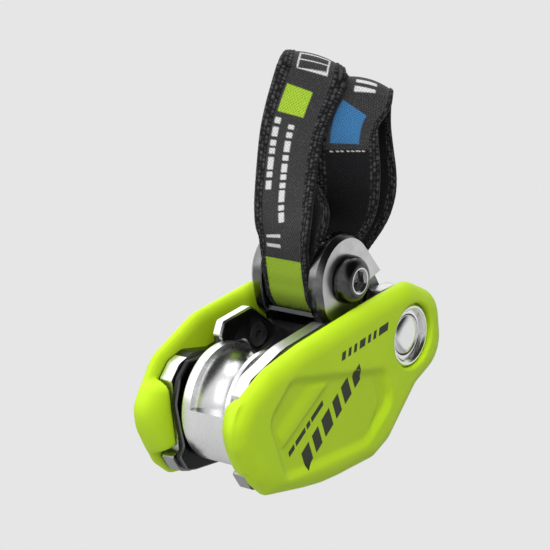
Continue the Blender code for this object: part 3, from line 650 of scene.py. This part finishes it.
def cover_field(side):
    """Signed field of a cover over device points (u, w, v): shell and nose, less the bores."""
    outline = cover_outline(side)
    inner_soft = REAR_INNER_SOFT if side > 0 else FRONT_INNER_SOFT

    def field(p):
        uv = p[:, (0, 2)]
        a = p[:, 1] * side
        d = outline_distance(uv, outline)
        depth, _ = panel_depth(uv)
        top = COVER_OUTER - depth
        qx = (d + ROUND_SIDE) / ROUND_SIDE
        qy = (a - (top - ROUND_FACE)) / ROUND_FACE
        reach = np.sqrt(np.maximum(qx, 0.0) ** 2 + np.maximum(qy, 0.0) ** 2)
        shell = (np.where(reach > 0.0, reach, np.maximum(qx, qy)) - 1.0) * ROUND_MEAN
        shell = soft_max(shell, COVER_INNER - a, inner_soft)
        nose = nose_field(uv[:, 0], uv[:, 1], a)
        f = soft_min(shell, nose, 0.8)
        r = np.hypot(uv[:, 0] - AXLE[0], uv[:, 1] - AXLE[1])
        f = soft_max(f, AXLE_BORE - r, 0.7)
        for spot in SCREWS:
            r = np.hypot(uv[:, 0] - spot[0], uv[:, 1] - spot[1])
            f = np.maximum(f, np.minimum(SCREW_BORE - r, SCREW_BORE_END - a))
        return f

    return field


def build_cover(side, body):
    """A moulded cover; the sunk panel is marked for its material."""
    name = "rear_cover" if side > 0 else "front_cover"
    step = 0.55
    low = [-26.0, 9.6 if side > 0 else -21.0, -31.0]
    high = [77.5, 21.0 if side > 0 else -9.6, 25.0]
    points, faces = skin(cover_field(side), low, high, step)
    mesh = mesh_from(name + "_shell", place(points), faces)
    _, sunk = panel_depth(points[:, (0, 2)])
    write_mark(mesh, "sunk", sunk * (points[:, 1] * side > PANEL_FACE))
    new_object(name + "_shell", mesh, LIME, body, [name])


# ---- drum ----
DRUM_R, DRUM_REAR, DRUM_FRONT = 16.9, 6.65, -10.2
BORE_R, RECESS_R, RECESS_END = 6.9, 8.7, -7.2
GROOVE_MIDDLE, GROOVE_HALF, GROOVE_STEPS = -2.5, 5.9, 28
GROOVE_FLOORS = (DRUM_R, 14.6, 12.2)    # plain third, shallow groove, deep groove
THIRD_DEG, FIRST_DEG = 120.0, 164.0
STEP_HALF_DEG, SPAN_DEG, SPAN_STEPS = 0.8, 118.4, 40


def drum_profile(floor_r):
    """Radius and place across the drum, round the section of one third."""
    points = [(16.3, DRUM_REAR), (16.6, 6.56), (16.82, 6.35), (DRUM_R, 6.05)]
    for k in range(GROOVE_STEPS + 1):
        angle = math.pi * k / GROOVE_STEPS
        points.append((DRUM_R - (DRUM_R - floor_r) * math.sin(angle) ** 0.8,
                       GROOVE_MIDDLE + GROOVE_HALF * math.cos(angle)))
    points += [(DRUM_R, -9.6), (16.82, -9.9), (16.6, -10.11), (16.3, DRUM_FRONT)]
    return points + [(RECESS_R, DRUM_FRONT), (RECESS_R, RECESS_END), (BORE_R, RECESS_END),
                     (BORE_R, DRUM_REAR)]


def build_drum():
    """Three thirds round the rim: plain face, shallow groove, deep rope groove."""
    rings = []
    for third, floor_r in enumerate(GROOVE_FLOORS):
        profile = drum_profile(floor_r)
        for k in range(SPAN_STEPS + 1):
            angle = math.radians(FIRST_DEG + THIRD_DEG * third + STEP_HALF_DEG
                                 + SPAN_DEG * (k / SPAN_STEPS))
            rings.append([(r * math.cos(angle), w, r * math.sin(angle)) for r, w in profile])
    rings = np.array(rings)
    faces = tube_faces(*rings.shape[:2], True)
    mesh = mesh_from("brake_drum_turned", place(rings.reshape(-1, 3)), faces, 35.0)
    new_object("brake_drum_turned", mesh, DRUM_STEEL, "drum", ["brake_drum"])


# ---- sling ----
SLEEVE_R, TAPE_T, TAPE_HALF = 7.0, 2.2, 8.0
SEAT_YAW, SEAT_LEAN = 33.0, 0.10        # of the two end loops
TAPE_BAND, TAPE_KNOTS = 6.1, 0.34       # half width of the woven middle, height of the knots
LAP_BAND, LAP_KNOTS = 4.6, 0.28
LAP_LOW, LAP_HIGH, LAP_WITHIN = 20.0, 46.0, 75.0    # heights, and arc length from the start
KNOT_PITCH, KNOT_ROWS = 1.35, 3.0
REAR_LOOP, REAR_LOOP_R = (-5.9, 9.4, 55.0), 6.2
FRONT_LOOP, FRONT_LOOP_R = (5.0, -3.2, 51.6), 5.9
LOOP_STEPS, PASS_STEPS, CURVE_STEPS = 8, 12, 12

# Stations of the strands, from the loop down: x, y, height over the bolt, yaw, half width.
REAR_OUTER = [
    (-12.5, 7.0, 45.0, 26.0, 9.8), (-13.4, 7.1, 37.0, 20.5, 9.4), (-14.3, 5.7, 27.0, 14.0, 9.2),
    (-15.8, 3.2, 17.5, 9.0, 9.1), (-16.6, 1.0, 11.5, 4.0, 8.9), (-16.3, 0.2, 8.0, 1.0, 8.6),
    (-15.1, 0.0, 4.2, 0.0, 8.1), (-13.2, 0.0, 0.6, 0.0, 8.0), (-11.6, 0.0, -2.4, 0.0, 8.0)]
REAR_INNER = [
    (0.2, 12.2, 47.0, 28.0, 7.6), (-0.2, 11.8, 38.0, 20.0, 7.8), (-1.0, 11.4, 29.0, 12.0, 7.8),
    (-4.0, 10.6, 24.0, 6.0, 7.6), (-6.6, 5.4, 19.2, 2.0, 7.9), (-8.1, 0.5, 14.6, 0.0, 8.0),
    (-8.8, -0.1, 11.0, 0.0, 8.0), (-8.6, 0.0, 6.0, 0.0, 8.0)]
FRONT_OUTER = [
    (11.0, -0.3, 45.0, 31.0, 8.0), (12.8, -1.5, 38.0, 26.0, 8.3), (14.4, -2.9, 32.0, 20.0, 8.4),
    (15.2, -3.7, 26.0, 13.0, 8.4), (16.0, -2.2, 19.5, 6.0, 8.2), (15.0, -0.2, 12.5, 1.0, 8.0),
    (12.2, 0.0, 5.2, 0.0, 8.0)]
FRONT_INNER = [
    (-1.8, -4.8, 46.0, 33.0, 7.8), (-2.3, -4.8, 40.0, 33.0, 8.7), (-0.9, -5.2, 34.0, 33.0, 9.3),
    (1.6, -5.5, 28.0, 31.0, 9.2), (5.2, -4.2, 22.5, 26.0, 8.9), (8.2, -2.0, 17.0, 10.0, 8.3),
    (8.6, 0.0, 11.0, 0.0, 8.0), (8.6, 0.0, 5.0, 0.0, 8.0)]


def loop_stations(centre, radius, half):
    """Half a turn over the seat of an end loop, its half width going from half[0] to half[1]."""
    yaw = math.radians(SEAT_YAW)
    x, y, h = centre
    stations = []
    for k in range(LOOP_STEPS + 1):
        angle = math.pi * k / LOOP_STEPS
        side = radius * math.cos(angle)
        stations.append((x + side * math.cos(yaw), y + side * math.sin(yaw),
                         h + radius * math.sin(angle), SEAT_YAW,
                         half[0] + (half[1] - half[0]) * k / LOOP_STEPS))
    return stations


def pass_stations(radius, first_deg):
    """The way round under the bolt, from first_deg to the front."""
    angles = [math.radians(first_deg + (360.0 - first_deg) * k / PASS_STEPS)
              for k in range(PASS_STEPS + 1)]
    return [(radius * math.cos(a), 0.0, radius * math.sin(a), 0.0, TAPE_HALF) for a in angles]


def sling_stations():
    """Closed centre line of the tape ring: doubled under the bolt, one end loop on each side."""
    inner = SLEEVE_R + TAPE_T / 2.0 + 0.35
    outer = inner + TAPE_T + 0.45
    way = loop_stations(REAR_LOOP, REAR_LOOP_R, (8.2, 10.4)) + REAR_OUTER
    way += pass_stations(outer, 206.0) + FRONT_OUTER[::-1]
    way += loop_stations(FRONT_LOOP, FRONT_LOOP_R, (7.6, 7.6)) + FRONT_INNER
    way += pass_stations(inner, 180.0)[::-1] + REAR_INNER[::-1]
    return np.array(way)


def resampled(stations, pitch):
    """Stations at an even pitch on a smooth closed curve near the given ones; their arc lengths."""
    dense = []
    count = len(stations)
    for i in range(count):
        p0, p1, p2, p3 = (stations[(i + k) % count] for k in (-1, 0, 1, 2))
        for k in range(CURVE_STEPS):
            t = k / CURVE_STEPS
            dense.append(0.5 * (2.0 * p1 + (p2 - p0) * t
                                + (2.0 * p0 - 5.0 * p1 + 4.0 * p2 - p3) * t * t
                                + (3.0 * p1 - p0 - 3.0 * p2 + p3) * t ** 3))
    dense = np.array(dense)
    for _ in range(6):
        dense = 0.5 * dense + 0.25 * (np.roll(dense, 1, 0) + np.roll(dense, -1, 0))
    closed = np.concatenate([dense, dense[:1]])
    legs = np.linalg.norm(np.diff(closed[:, :3], axis=0), axis=1)
    length = np.concatenate([[0.0], np.cumsum(legs)])
    steps = int(round(length[-1] / pitch))
    even = np.linspace(0.0, length[-1], steps, endpoint=False)
    return np.stack([np.interp(even, length, closed[:, m]) for m in range(5)], -1), even


def tape_frames(stations, closed=True):
    """At every station of the tape: place in the shared frame, direction across, direction into the
    ring."""
    before = np.roll(stations, 1, 0)
    after = np.roll(stations, -1, 0)
    if not closed:
        before[0] = stations[0]
        after[-1] = stations[-1]
    along = after[:, :3] - before[:, :3]
    along /= np.linalg.norm(along, axis=1)[:, None]
    twist = np.radians(stations[:, 3])
    lean = SEAT_LEAN * smooth((stations[:, 2] - 12.0) / 36.0)
    across = np.stack([-np.sin(twist), np.cos(twist), lean], -1)
    across -= along * (along * across).sum(-1)[:, None]
    across /= np.linalg.norm(across, axis=1)[:, None]
    return stations[:, :3] + np.array(SLING_PLACE), across, np.cross(along, across)


def tape_section(half, s, band, lumps, bow, fine):
    """Section of the tape at arc length s, woven in the middle and knotted along its rolled edges.
    Each point: place across, offset into the ring, face (1 in, -1 out), knot height, selvedge."""
    rim = np.linspace(0.0, 1.0, 15)[:-1]
    sides = []
    for count in (9, fine):
        sides.append(np.concatenate([-half + (half - band) * rim, np.linspace(-band, band, count),
                                     half - (half - band) * rim[::-1]]))
    across = np.concatenate([sides[0], sides[1][::-1]])
    face = np.concatenate([np.ones(len(sides[0])), -np.ones(len(sides[1]))])
    into = np.clip((np.abs(across) - band) / (half - band), 0.0, 1.0)
    thick = 0.80 + 0.20 * np.sin(np.pi * into) ** 0.6
    thick *= np.sqrt(np.clip(1.0 - np.clip((into - 0.78) / 0.225, 0.0, 1.0) ** 2.0, 0.015, 1.0))
    column = into * KNOT_ROWS
    row = np.floor(np.minimum(column, 2.99))
    side = np.sign(across)
    phase = s / KNOT_PITCH + 0.5 * row + 0.25 * (1.0 + side) + 0.45 * into
    phase += 0.30 * np.sin(0.71 * s + 2.3 * row + side) + 0.17 * np.sin(1.93 * s + 4.1 * row - side)
    wander = 0.66 + 0.20 * np.sin(0.83 * s + 2.1 * row + side)
    wander = wander + 0.14 * np.sin(2.57 * s + 3.7 * row - side)
    knot = np.abs(np.sin(np.pi * column)) ** 0.6 * np.abs(np.sin(np.pi * phase)) ** 0.7 * wander
    knot = np.where(into > 0.0, knot, 0.0)
    raised = lumps * knot * (0.4 + 0.6 * (into < 0.93))
    offset = face * (thick + raised) + bow * (across / half) ** 2
    return across, offset, face, knot, np.clip((np.abs(across) - band) / 0.3, 0.0, 1.0)


def build_tape(name, stations, s, band, closed, lumps, bow, fine):
    """Swept tape mesh and, for each point: arc length, place across, face, knot height, selvedge.
    fine is the number of points across the woven middle of the outward face."""
    centre, across, inward = tape_frames(stations, closed)
    rows, marks = [], []
    for i in range(len(stations)):
        a, n, face, knot, edge = tape_section(stations[i, 4], s[i], band, lumps, bow[i], fine)
        rows.append(centre[i] + a[:, None] * across[i] + n[:, None] * inward[i])
        marks.append(np.stack([np.full(len(a), s[i]), a, face, knot, edge], -1))
    rows, marks = np.array(rows), np.array(marks)
    faces = tube_faces(*rows.shape[:2], closed)
    mesh = mesh_from(name, rows.reshape(-1, 3) * MM, faces)
    return mesh, marks.reshape(-1, 5)


ALL_ACROSS = (-99.0, 99.0)


def dashes(start, end, low, high, lengths, gap):
    """A row of white dashes along the tape, of repeating lengths."""
    made = []
    d, k = start, 0
    while d + lengths[k % len(lengths)] < end:
        made.append(("ink_white", d, d + lengths[k % len(lengths)], low, high))
        d += lengths[k % len(lengths)] + gap
        k += 1
    return made


def rear_prints():
    """Prints on the rear outer strand: ink, range along the strand from the loop's ridge, range
    across it."""
    made = [("ink_band", -8.0, 90.0, *ALL_ACROSS), ("ink_green", 14.2, 22.4, -2.2, 5.6)]
    made += [("ink_green", 64.4, 90.0, *ALL_ACROSS)]
    for low, high in ((2.8, 3.3), (8.3, 8.8)):
        made.append(("ink_white", low, high, -4.4, 4.6))
    for low, high in ((-4.4, -3.95), (4.15, 4.6)):
        made.append(("ink_white", 2.8, 8.8, low, high))
    made.append(("ink_white", 5.6, 6.0, -4.4, 4.6))
    made += dashes(24.0, 45.5, 3.7, 5.3, (1.5, 2.6, 1.5, 1.5, 3.4), 0.9)
    made += dashes(25.0, 56.0, -0.5, 1.1, (1.5, 1.5, 3.4, 1.5, 2.6), 0.9)
    made += [("ink_white", 57.4, 58.5, 0.6, 5.6), ("ink_white", 60.2, 61.3, 0.6, 5.6)]
    return made


def front_prints():
    """Prints on the front loop and the upper part of its inner strand."""
    made = [("ink_band", -8.0, 25.2, *ALL_ACROSS), ("ink_blue", 13.4, 23.6, -3.4, 5.0)]
    made += [("ink_white", 3.8, 5.0, -2.6, 3.8), ("ink_white", 6.4, 7.6, -2.6, 3.8)]
    for k in range(7):
        made.append(("ink_white", 25.3, 25.7, -5.0 + 1.5 * k, -4.1 + 1.5 * k))
    return made


def tape_marks(mesh, marks, band, prints=()):
    """Write weave coordinates and printed areas on the outward face of the tape."""
    for name, values in (("along", marks[:, 0]), ("across", marks[:, 1]), ("lump", marks[:, 3]),
                         ("selvedge", marks[:, 4])):
        write_mark(mesh, name, values)
    shown = (marks[:, 2] < 0.0) & (np.abs(marks[:, 1]) < band + 0.05)
    for name in ("ink_band", "ink_white", "ink_green", "ink_blue"):
        value = np.zeros(len(marks))
        for kind, s0, s1, a0, a1 in prints:
            if kind == name:
                inside = shown & (marks[:, 0] > s0) & (marks[:, 0] < s1)
                value[inside & (marks[:, 1] > a0) & (marks[:, 1] < a1)] = 1.0
        write_mark(mesh, name, value)


def build_sling():
    """The tape ring with its prints, and the sewn lap inside its rear outer strand."""
    stations, s = resampled(sling_stations(), 0.32)

    def reached(point):
        return s[np.argmin(((stations[:, :3] - np.array(point)) ** 2).sum(-1))]

    def ridge(centre, radius):
        return reached((centre[0], centre[1], centre[2] + radius))

    rear_top, front_top = ridge(REAR_LOOP, REAR_LOOP_R), ridge(FRONT_LOOP, FRONT_LOOP_R)
    saddle, front_low = reached((0.0, 0.0, -11.1)), reached((8.6, 0.0, 5.0))
    rear, front = s - rear_top, s - front_top
    bow = 1.7 * smooth((15.0 - np.abs(rear)) / 13.0) + 1.5 * smooth((13.0 - np.abs(front)) / 11.0)
    bow += 0.7 * smooth((rear - 6.0) / 10.0) * smooth((saddle - rear_top - 24.0 - rear) / 20.0)
    front_end = smooth((front_low - front_top - 4.0 - front) / 14.0)
    bow -= 1.5 * smooth((front - 16.0) / 12.0) * front_end
    prints = [(k, a + rear_top, b + rear_top, c, d) for k, a, b, c, d in rear_prints()]
    prints += [(k, a + front_top, b + front_top, c, d) for k, a, b, c, d in front_prints()]
    mesh, marks = build_tape("sling_tape", stations, s, TAPE_BAND, True, TAPE_KNOTS, bow, 29)
    tape_marks(mesh, marks, TAPE_BAND, prints)
    new_object("sling_tape", mesh, WEBBING, "sling", ["sling_webbing"])
    keep = [i for i in range(len(stations))
            if s[i] < LAP_WITHIN and LAP_LOW < stations[i, 2] < LAP_HIGH]
    lap = stations[keep].copy()
    _, _, inward = tape_frames(stations)
    lap[:, :3] += inward[keep] * (TAPE_T + 0.4)
    lap[:, 4] = TAPE_HALF - 1.2
    mesh, marks = build_tape("sling_lap", lap, s[keep], LAP_BAND, False, LAP_KNOTS, bow[keep], 9)
    tape_marks(mesh, marks, LAP_BAND)
    new_object("sling_lap", mesh, WEBBING, "sling", ["sling_splice"])


# ---- bolt ----
HEAD_SEAT, HEAD_TIP, BOLT_END = -12.95, -17.35, 12.6
CROWN_STEPS, BOLT_SIDES, LEAST_R = 18, 96, 0.01


def bolt_profile():
    """From the socket's floor to the bolt's end: radius, place across, how far it is a hexagon."""
    profile = [(0.0, -14.2, 0.0), (1.6, -14.5, 1.0), (2.5, -14.75, 1.0), (2.5, -16.55, 1.0),
               (2.62, -16.75, 0.8), (3.30, -17.16, 0.0), (3.42, -17.28, 0.0),
               (3.55, HEAD_TIP, 0.0), (3.75, HEAD_TIP, 0.0), (3.90, HEAD_TIP + 0.05, 0.0)]
    rim = HEAD_SEAT - 0.5
    for k in range(1, CROWN_STEPS + 1):
        angle = math.radians(90.0 * k / CROWN_STEPS)
        profile.append((3.9 + 3.1 * math.sin(angle),
                        rim - (rim - HEAD_TIP - 0.05) * math.cos(angle), 0.0))
    return profile + [(7.0, HEAD_SEAT - 0.25, 0.0), (6.85, HEAD_SEAT, 0.0), (4.0, HEAD_SEAT, 0.0),
                      (4.0, 12.0, 0.0), (3.4, BOLT_END, 0.0), (0.0, BOLT_END, 0.0)]


def build_bolt():
    """Button head with a bright ring round its hexagon socket."""
    profile = bolt_profile()
    rows, bare, socket = [], [], []
    for r, w, share in profile:
        for k in range(BOLT_SIDES):
            angle = 2.0 * math.pi * k / BOLT_SIDES
            bend = (angle + math.pi / 6.0) % (math.pi / 3.0) - math.pi / 6.0
            reach = max(r * (1.0 - share + share / math.cos(bend)), LEAST_R)
            rows.append((BOLT[0] + reach * math.cos(angle), w, BOLT[1] + reach * math.sin(angle)))
            bare.append(1.0 if 3.35 < r < 3.85 and w < -16.0 else 0.0)
            socket.append(1.0 if r < 3.32 and w < -14.0 else 0.0)
    faces = tube_faces(len(profile), BOLT_SIDES, False)
    mesh = mesh_from("clevis_bolt_turned", place(rows), faces, 38.0)
    write_mark(mesh, "bare", np.array(bare))
    write_mark(mesh, "socket", np.array(socket))
    new_object("clevis_bolt_turned", mesh, BOLT_STEEL, "chassis", ["clevis_bolt"])


# ---- printed marks on the front cover ----
PRINT_TOP, PRINT_FOOT = 0.04, -0.03     # over the cover's surface


def slab(rows, faces, corners):
    """Thin printed patch that lies on the front cover between four (u, v) corners."""
    across, along = 6, 10
    c = np.array(corners, float)
    start = len(rows)
    for layer in (PRINT_TOP, PRINT_FOOT):
        for i in range(along + 1):
            for k in range(across + 1):
                a, b = i / along, k / across
                p = (c[0] * (1 - a) + c[1] * a) * (1 - b) + (c[3] * (1 - a) + c[2] * a) * b
                depth, _ = panel_depth(p[None])
                rows.append((p[0], -(COVER_OUTER - depth[0] + layer), p[1]))
    wide = across + 1
    size = (along + 1) * wide
    for i in range(along):
        for k in range(across):
            q = (start + i * wide + k, start + i * wide + k + 1, start + (i + 1) * wide + k + 1,
                 start + (i + 1) * wide + k)
            faces.append(q)
            faces.append(tuple(v + size for v in reversed(q)))
    ring = [i * wide for i in range(along)] + [along * wide + k for k in range(across)]
    ring += [(along - i) * wide + across for i in range(along)]
    ring += [across - k for k in range(across)]
    for i, v in enumerate(ring):
        n = ring[(i + 1) % len(ring)]
        faces.append((start + v, start + n, start + n + size, start + v + size))


def bar_row(rows, faces, start, end, height, shares, slant):
    """Slanted bars along a line: shares are (from, to) of its length."""
    a, b = np.array(start), np.array(end)
    along = b - a
    rise = np.array([-along[1], along[0]]) / np.hypot(*along) * height
    lean = along / np.hypot(*along) * slant
    for low, high in shares:
        p, q = a + along * low, a + along * high
        slab(rows, faces, [p, q, q + rise + lean, p + rise + lean])


def build_marks():
    """Three rows of plain bars on the front cover."""
    rows, faces = [], []
    bar_row(rows, faces, (4.0, -18.4), (32.6, -2.6), 5.6,
            [(0.0, 0.13), (0.19, 0.30), (0.36, 0.50), (0.56, 0.66), (0.72, 0.84), (0.90, 1.0)], 1.6)
    bar_row(rows, faces, (-2.6, -11.4), (14.6, -2.9), 1.5,
            [(0.0, 0.16), (0.20, 0.48), (0.52, 0.62), (0.66, 1.0)], 0.5)
    bar_row(rows, faces, (23.2, 7.1), (46.2, 7.5), 2.3,
            [(0.0, 0.08), (0.14, 0.20), (0.26, 0.32), (0.38, 0.50), (0.56, 0.62), (0.68, 0.74),
             (0.80, 1.0)], 0.8)
    mesh = mesh_from("front_cover_marks", place(rows), faces, 30.0)
    new_object("front_cover_marks", mesh, INK, "front_half")


build_sling()
build_cover(1.0, "chassis")
build_cover(-1.0, "front_half")
build_marks()
build_drum()
build_bolt()

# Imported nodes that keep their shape: node, material, body, width of the broken edges.
FINISHED = [
    ("rear_plate", REAR_ALLOY, "chassis", 0.35),
    ("front_plate", FRONT_ALLOY, "front_half", 0.35),
    ("clevis", CLEVIS_STEEL, "chassis", 0.4),
    ("bolt_sleeve", STEEL, "chassis", 0.2),
    ("axle_pin", STEEL, "chassis", 0.3),
    ("rear_axle_bush", STEEL, "chassis", 0.2),
    ("front_axle_bush", STEEL, "front_half", 0.2),
    ("rear_washer", BRONZE, "chassis", 0.1),
    ("front_washer", BRONZE, "front_half", 0.1),
    ("rear_liner", LINER_STEEL, "chassis", 0.3),
    ("index_lever", LEVER_STEEL, "lever", 0.8),
    ("lever_pivot_screw", BLACKENED, "chassis", 0.15),
    ("lever_spring", STEEL, "chassis", 0.15),
    ("drum_axle", STEEL, "chassis", 0.2),
    ("drum_retainer", STEEL, "chassis", 0.2),
    ("drum_bush", BRONZE, "drum", 0.2),
    ("index_wheel", WHEEL_STEEL, "drum", 0.25),
]
for number in (1, 2, 3):
    FINISHED.append(("rear_cover_screw_%d" % number, BLACKENED, "chassis", 0.15))
    FINISHED.append(("front_cover_screw_%d" % number, BLACKENED, "front_half", 0.15))
for row in FINISHED:
    dressed(*row)


# ---- stage and light ----
FLOOR_LEVEL, FLOOR_RADIUS = -0.30, 0.9
FLOOR_BOUNCED, FLOOR_SEEN, FLOOR_ROUGH = 0.55, 0.72, 0.8
BACKDROP = 0.791            # the background's level, seen directly and in reflections
REFLECTED_DARK = 0.03       # what the reflected surroundings fade to, toward the front
DARK_TOWARD = (-0.10, -0.75, 0.65)
FADE_START, FADE_END = 0.48, 0.86
FILL = 0.28


def lamp(name, stand, aim, size, watts, in_reflections=True):
    """A white area lamp that points from stand to aim."""
    data = bpy.data.lights.new(name, "AREA")
    data.shape = "RECTANGLE"
    data.size = size[0]
    data.size_y = size[1]
    data.energy = watts
    obj = bpy.data.objects.new(name, data)
    bpy.context.scene.collection.objects.link(obj)
    turn = (Vector(aim) - Vector(stand)).to_track_quat("-Z", "Y").to_matrix().to_4x4()
    obj.matrix_world = Matrix.Translation(Vector(stand)) @ turn
    obj.visible_glossy = in_reflections


def make_floor():
    """Pale round floor, darker to bounced rays than to the camera."""
    mesh = bpy.data.meshes.new("floor")
    bm = bmesh.new()
    bmesh.ops.create_circle(bm, cap_ends=True, cap_tris=False, segments=64, radius=FLOOR_RADIUS)
    bm.to_mesh(mesh)
    bm.free()
    floor = bpy.data.objects.new("floor", mesh)
    floor.location = (0.0, 0.0, FLOOR_LEVEL)
    bpy.context.scene.collection.objects.link(floor)
    s = Shade("pale_floor")
    seen = s.node("ShaderNodeLightPath", {}).outputs["Is Camera Ray"]
    s.set(color=s.range(seen, 0.0, 1.0, FLOOR_BOUNCED, FLOOR_SEEN), rough=FLOOR_ROUGH)
    mesh.materials.append(s.mat)


def make_world():
    """Even fill light; a pale backdrop to the camera; in reflections it fades dark to the front."""
    world = bpy.data.worlds.new("studio")
    bpy.context.scene.world = world
    world.use_nodes = True
    tree = world.node_tree
    lit = tree.nodes["Background"]
    feed(tree, lit.inputs["Color"], (1.0, 1.0, 1.0, 1.0))
    feed(tree, lit.inputs["Strength"], FILL)
    seen = add_node(tree, "ShaderNodeBackground", {"Color": (BACKDROP, BACKDROP, BACKDROP, 1.0)})
    coord = add_node(tree, "ShaderNodeTexCoord", {})
    toward = add_node(tree, "ShaderNodeVectorMath", {0: coord.outputs["Generated"], 1: DARK_TOWARD},
                      operation="DOT_PRODUCT")
    fade = add_node(tree, "ShaderNodeMapRange",
                    {"Value": toward.outputs["Value"], "From Min": FADE_START, "From Max": FADE_END,
                     "To Min": BACKDROP, "To Max": REFLECTED_DARK}, interpolation_type="SMOOTHSTEP")
    mirrored = add_node(tree, "ShaderNodeBackground", {"Color": fade.outputs["Result"]})
    ray = add_node(tree, "ShaderNodeLightPath", {}).outputs
    bounced = add_node(tree, "ShaderNodeMixShader", {0: ray["Is Glossy Ray"], 1: lit.outputs[0],
                                                     2: mirrored.outputs[0]})
    direct = add_node(tree, "ShaderNodeMath", {0: ray["Is Camera Ray"],
                                               1: ray["Is Transmission Ray"]}, operation="MAXIMUM")
    mix = add_node(tree, "ShaderNodeMixShader", {0: direct.outputs[0], 1: bounced.outputs[0],
                                                 2: seen.outputs[0]})
    tree.links.new(mix.outputs[0], tree.nodes["World Output"].inputs["Surface"])


make_floor()
make_world()
lamp("top", (0.18, 0.36, 0.60), (0.0, 0.0, -0.06), (0.9, 0.9), 2.6)
lamp("side", (-0.55, 0.42, 0.15), (0.0, 0.0, -0.06), (0.6, 0.7), 1.1)
lamp("key", (-0.58, -0.36, 0.48), (0.0, 0.0, -0.07), (0.5, 0.5), 5.4, in_reflections=False)
lamp("rim", (-0.62, 0.12, 0.45), (0.0, 0.0, -0.07), (0.6, 0.6), 3.0, in_reflections=False)
bpy.context.scene.view_settings.view_transform = "Standard"
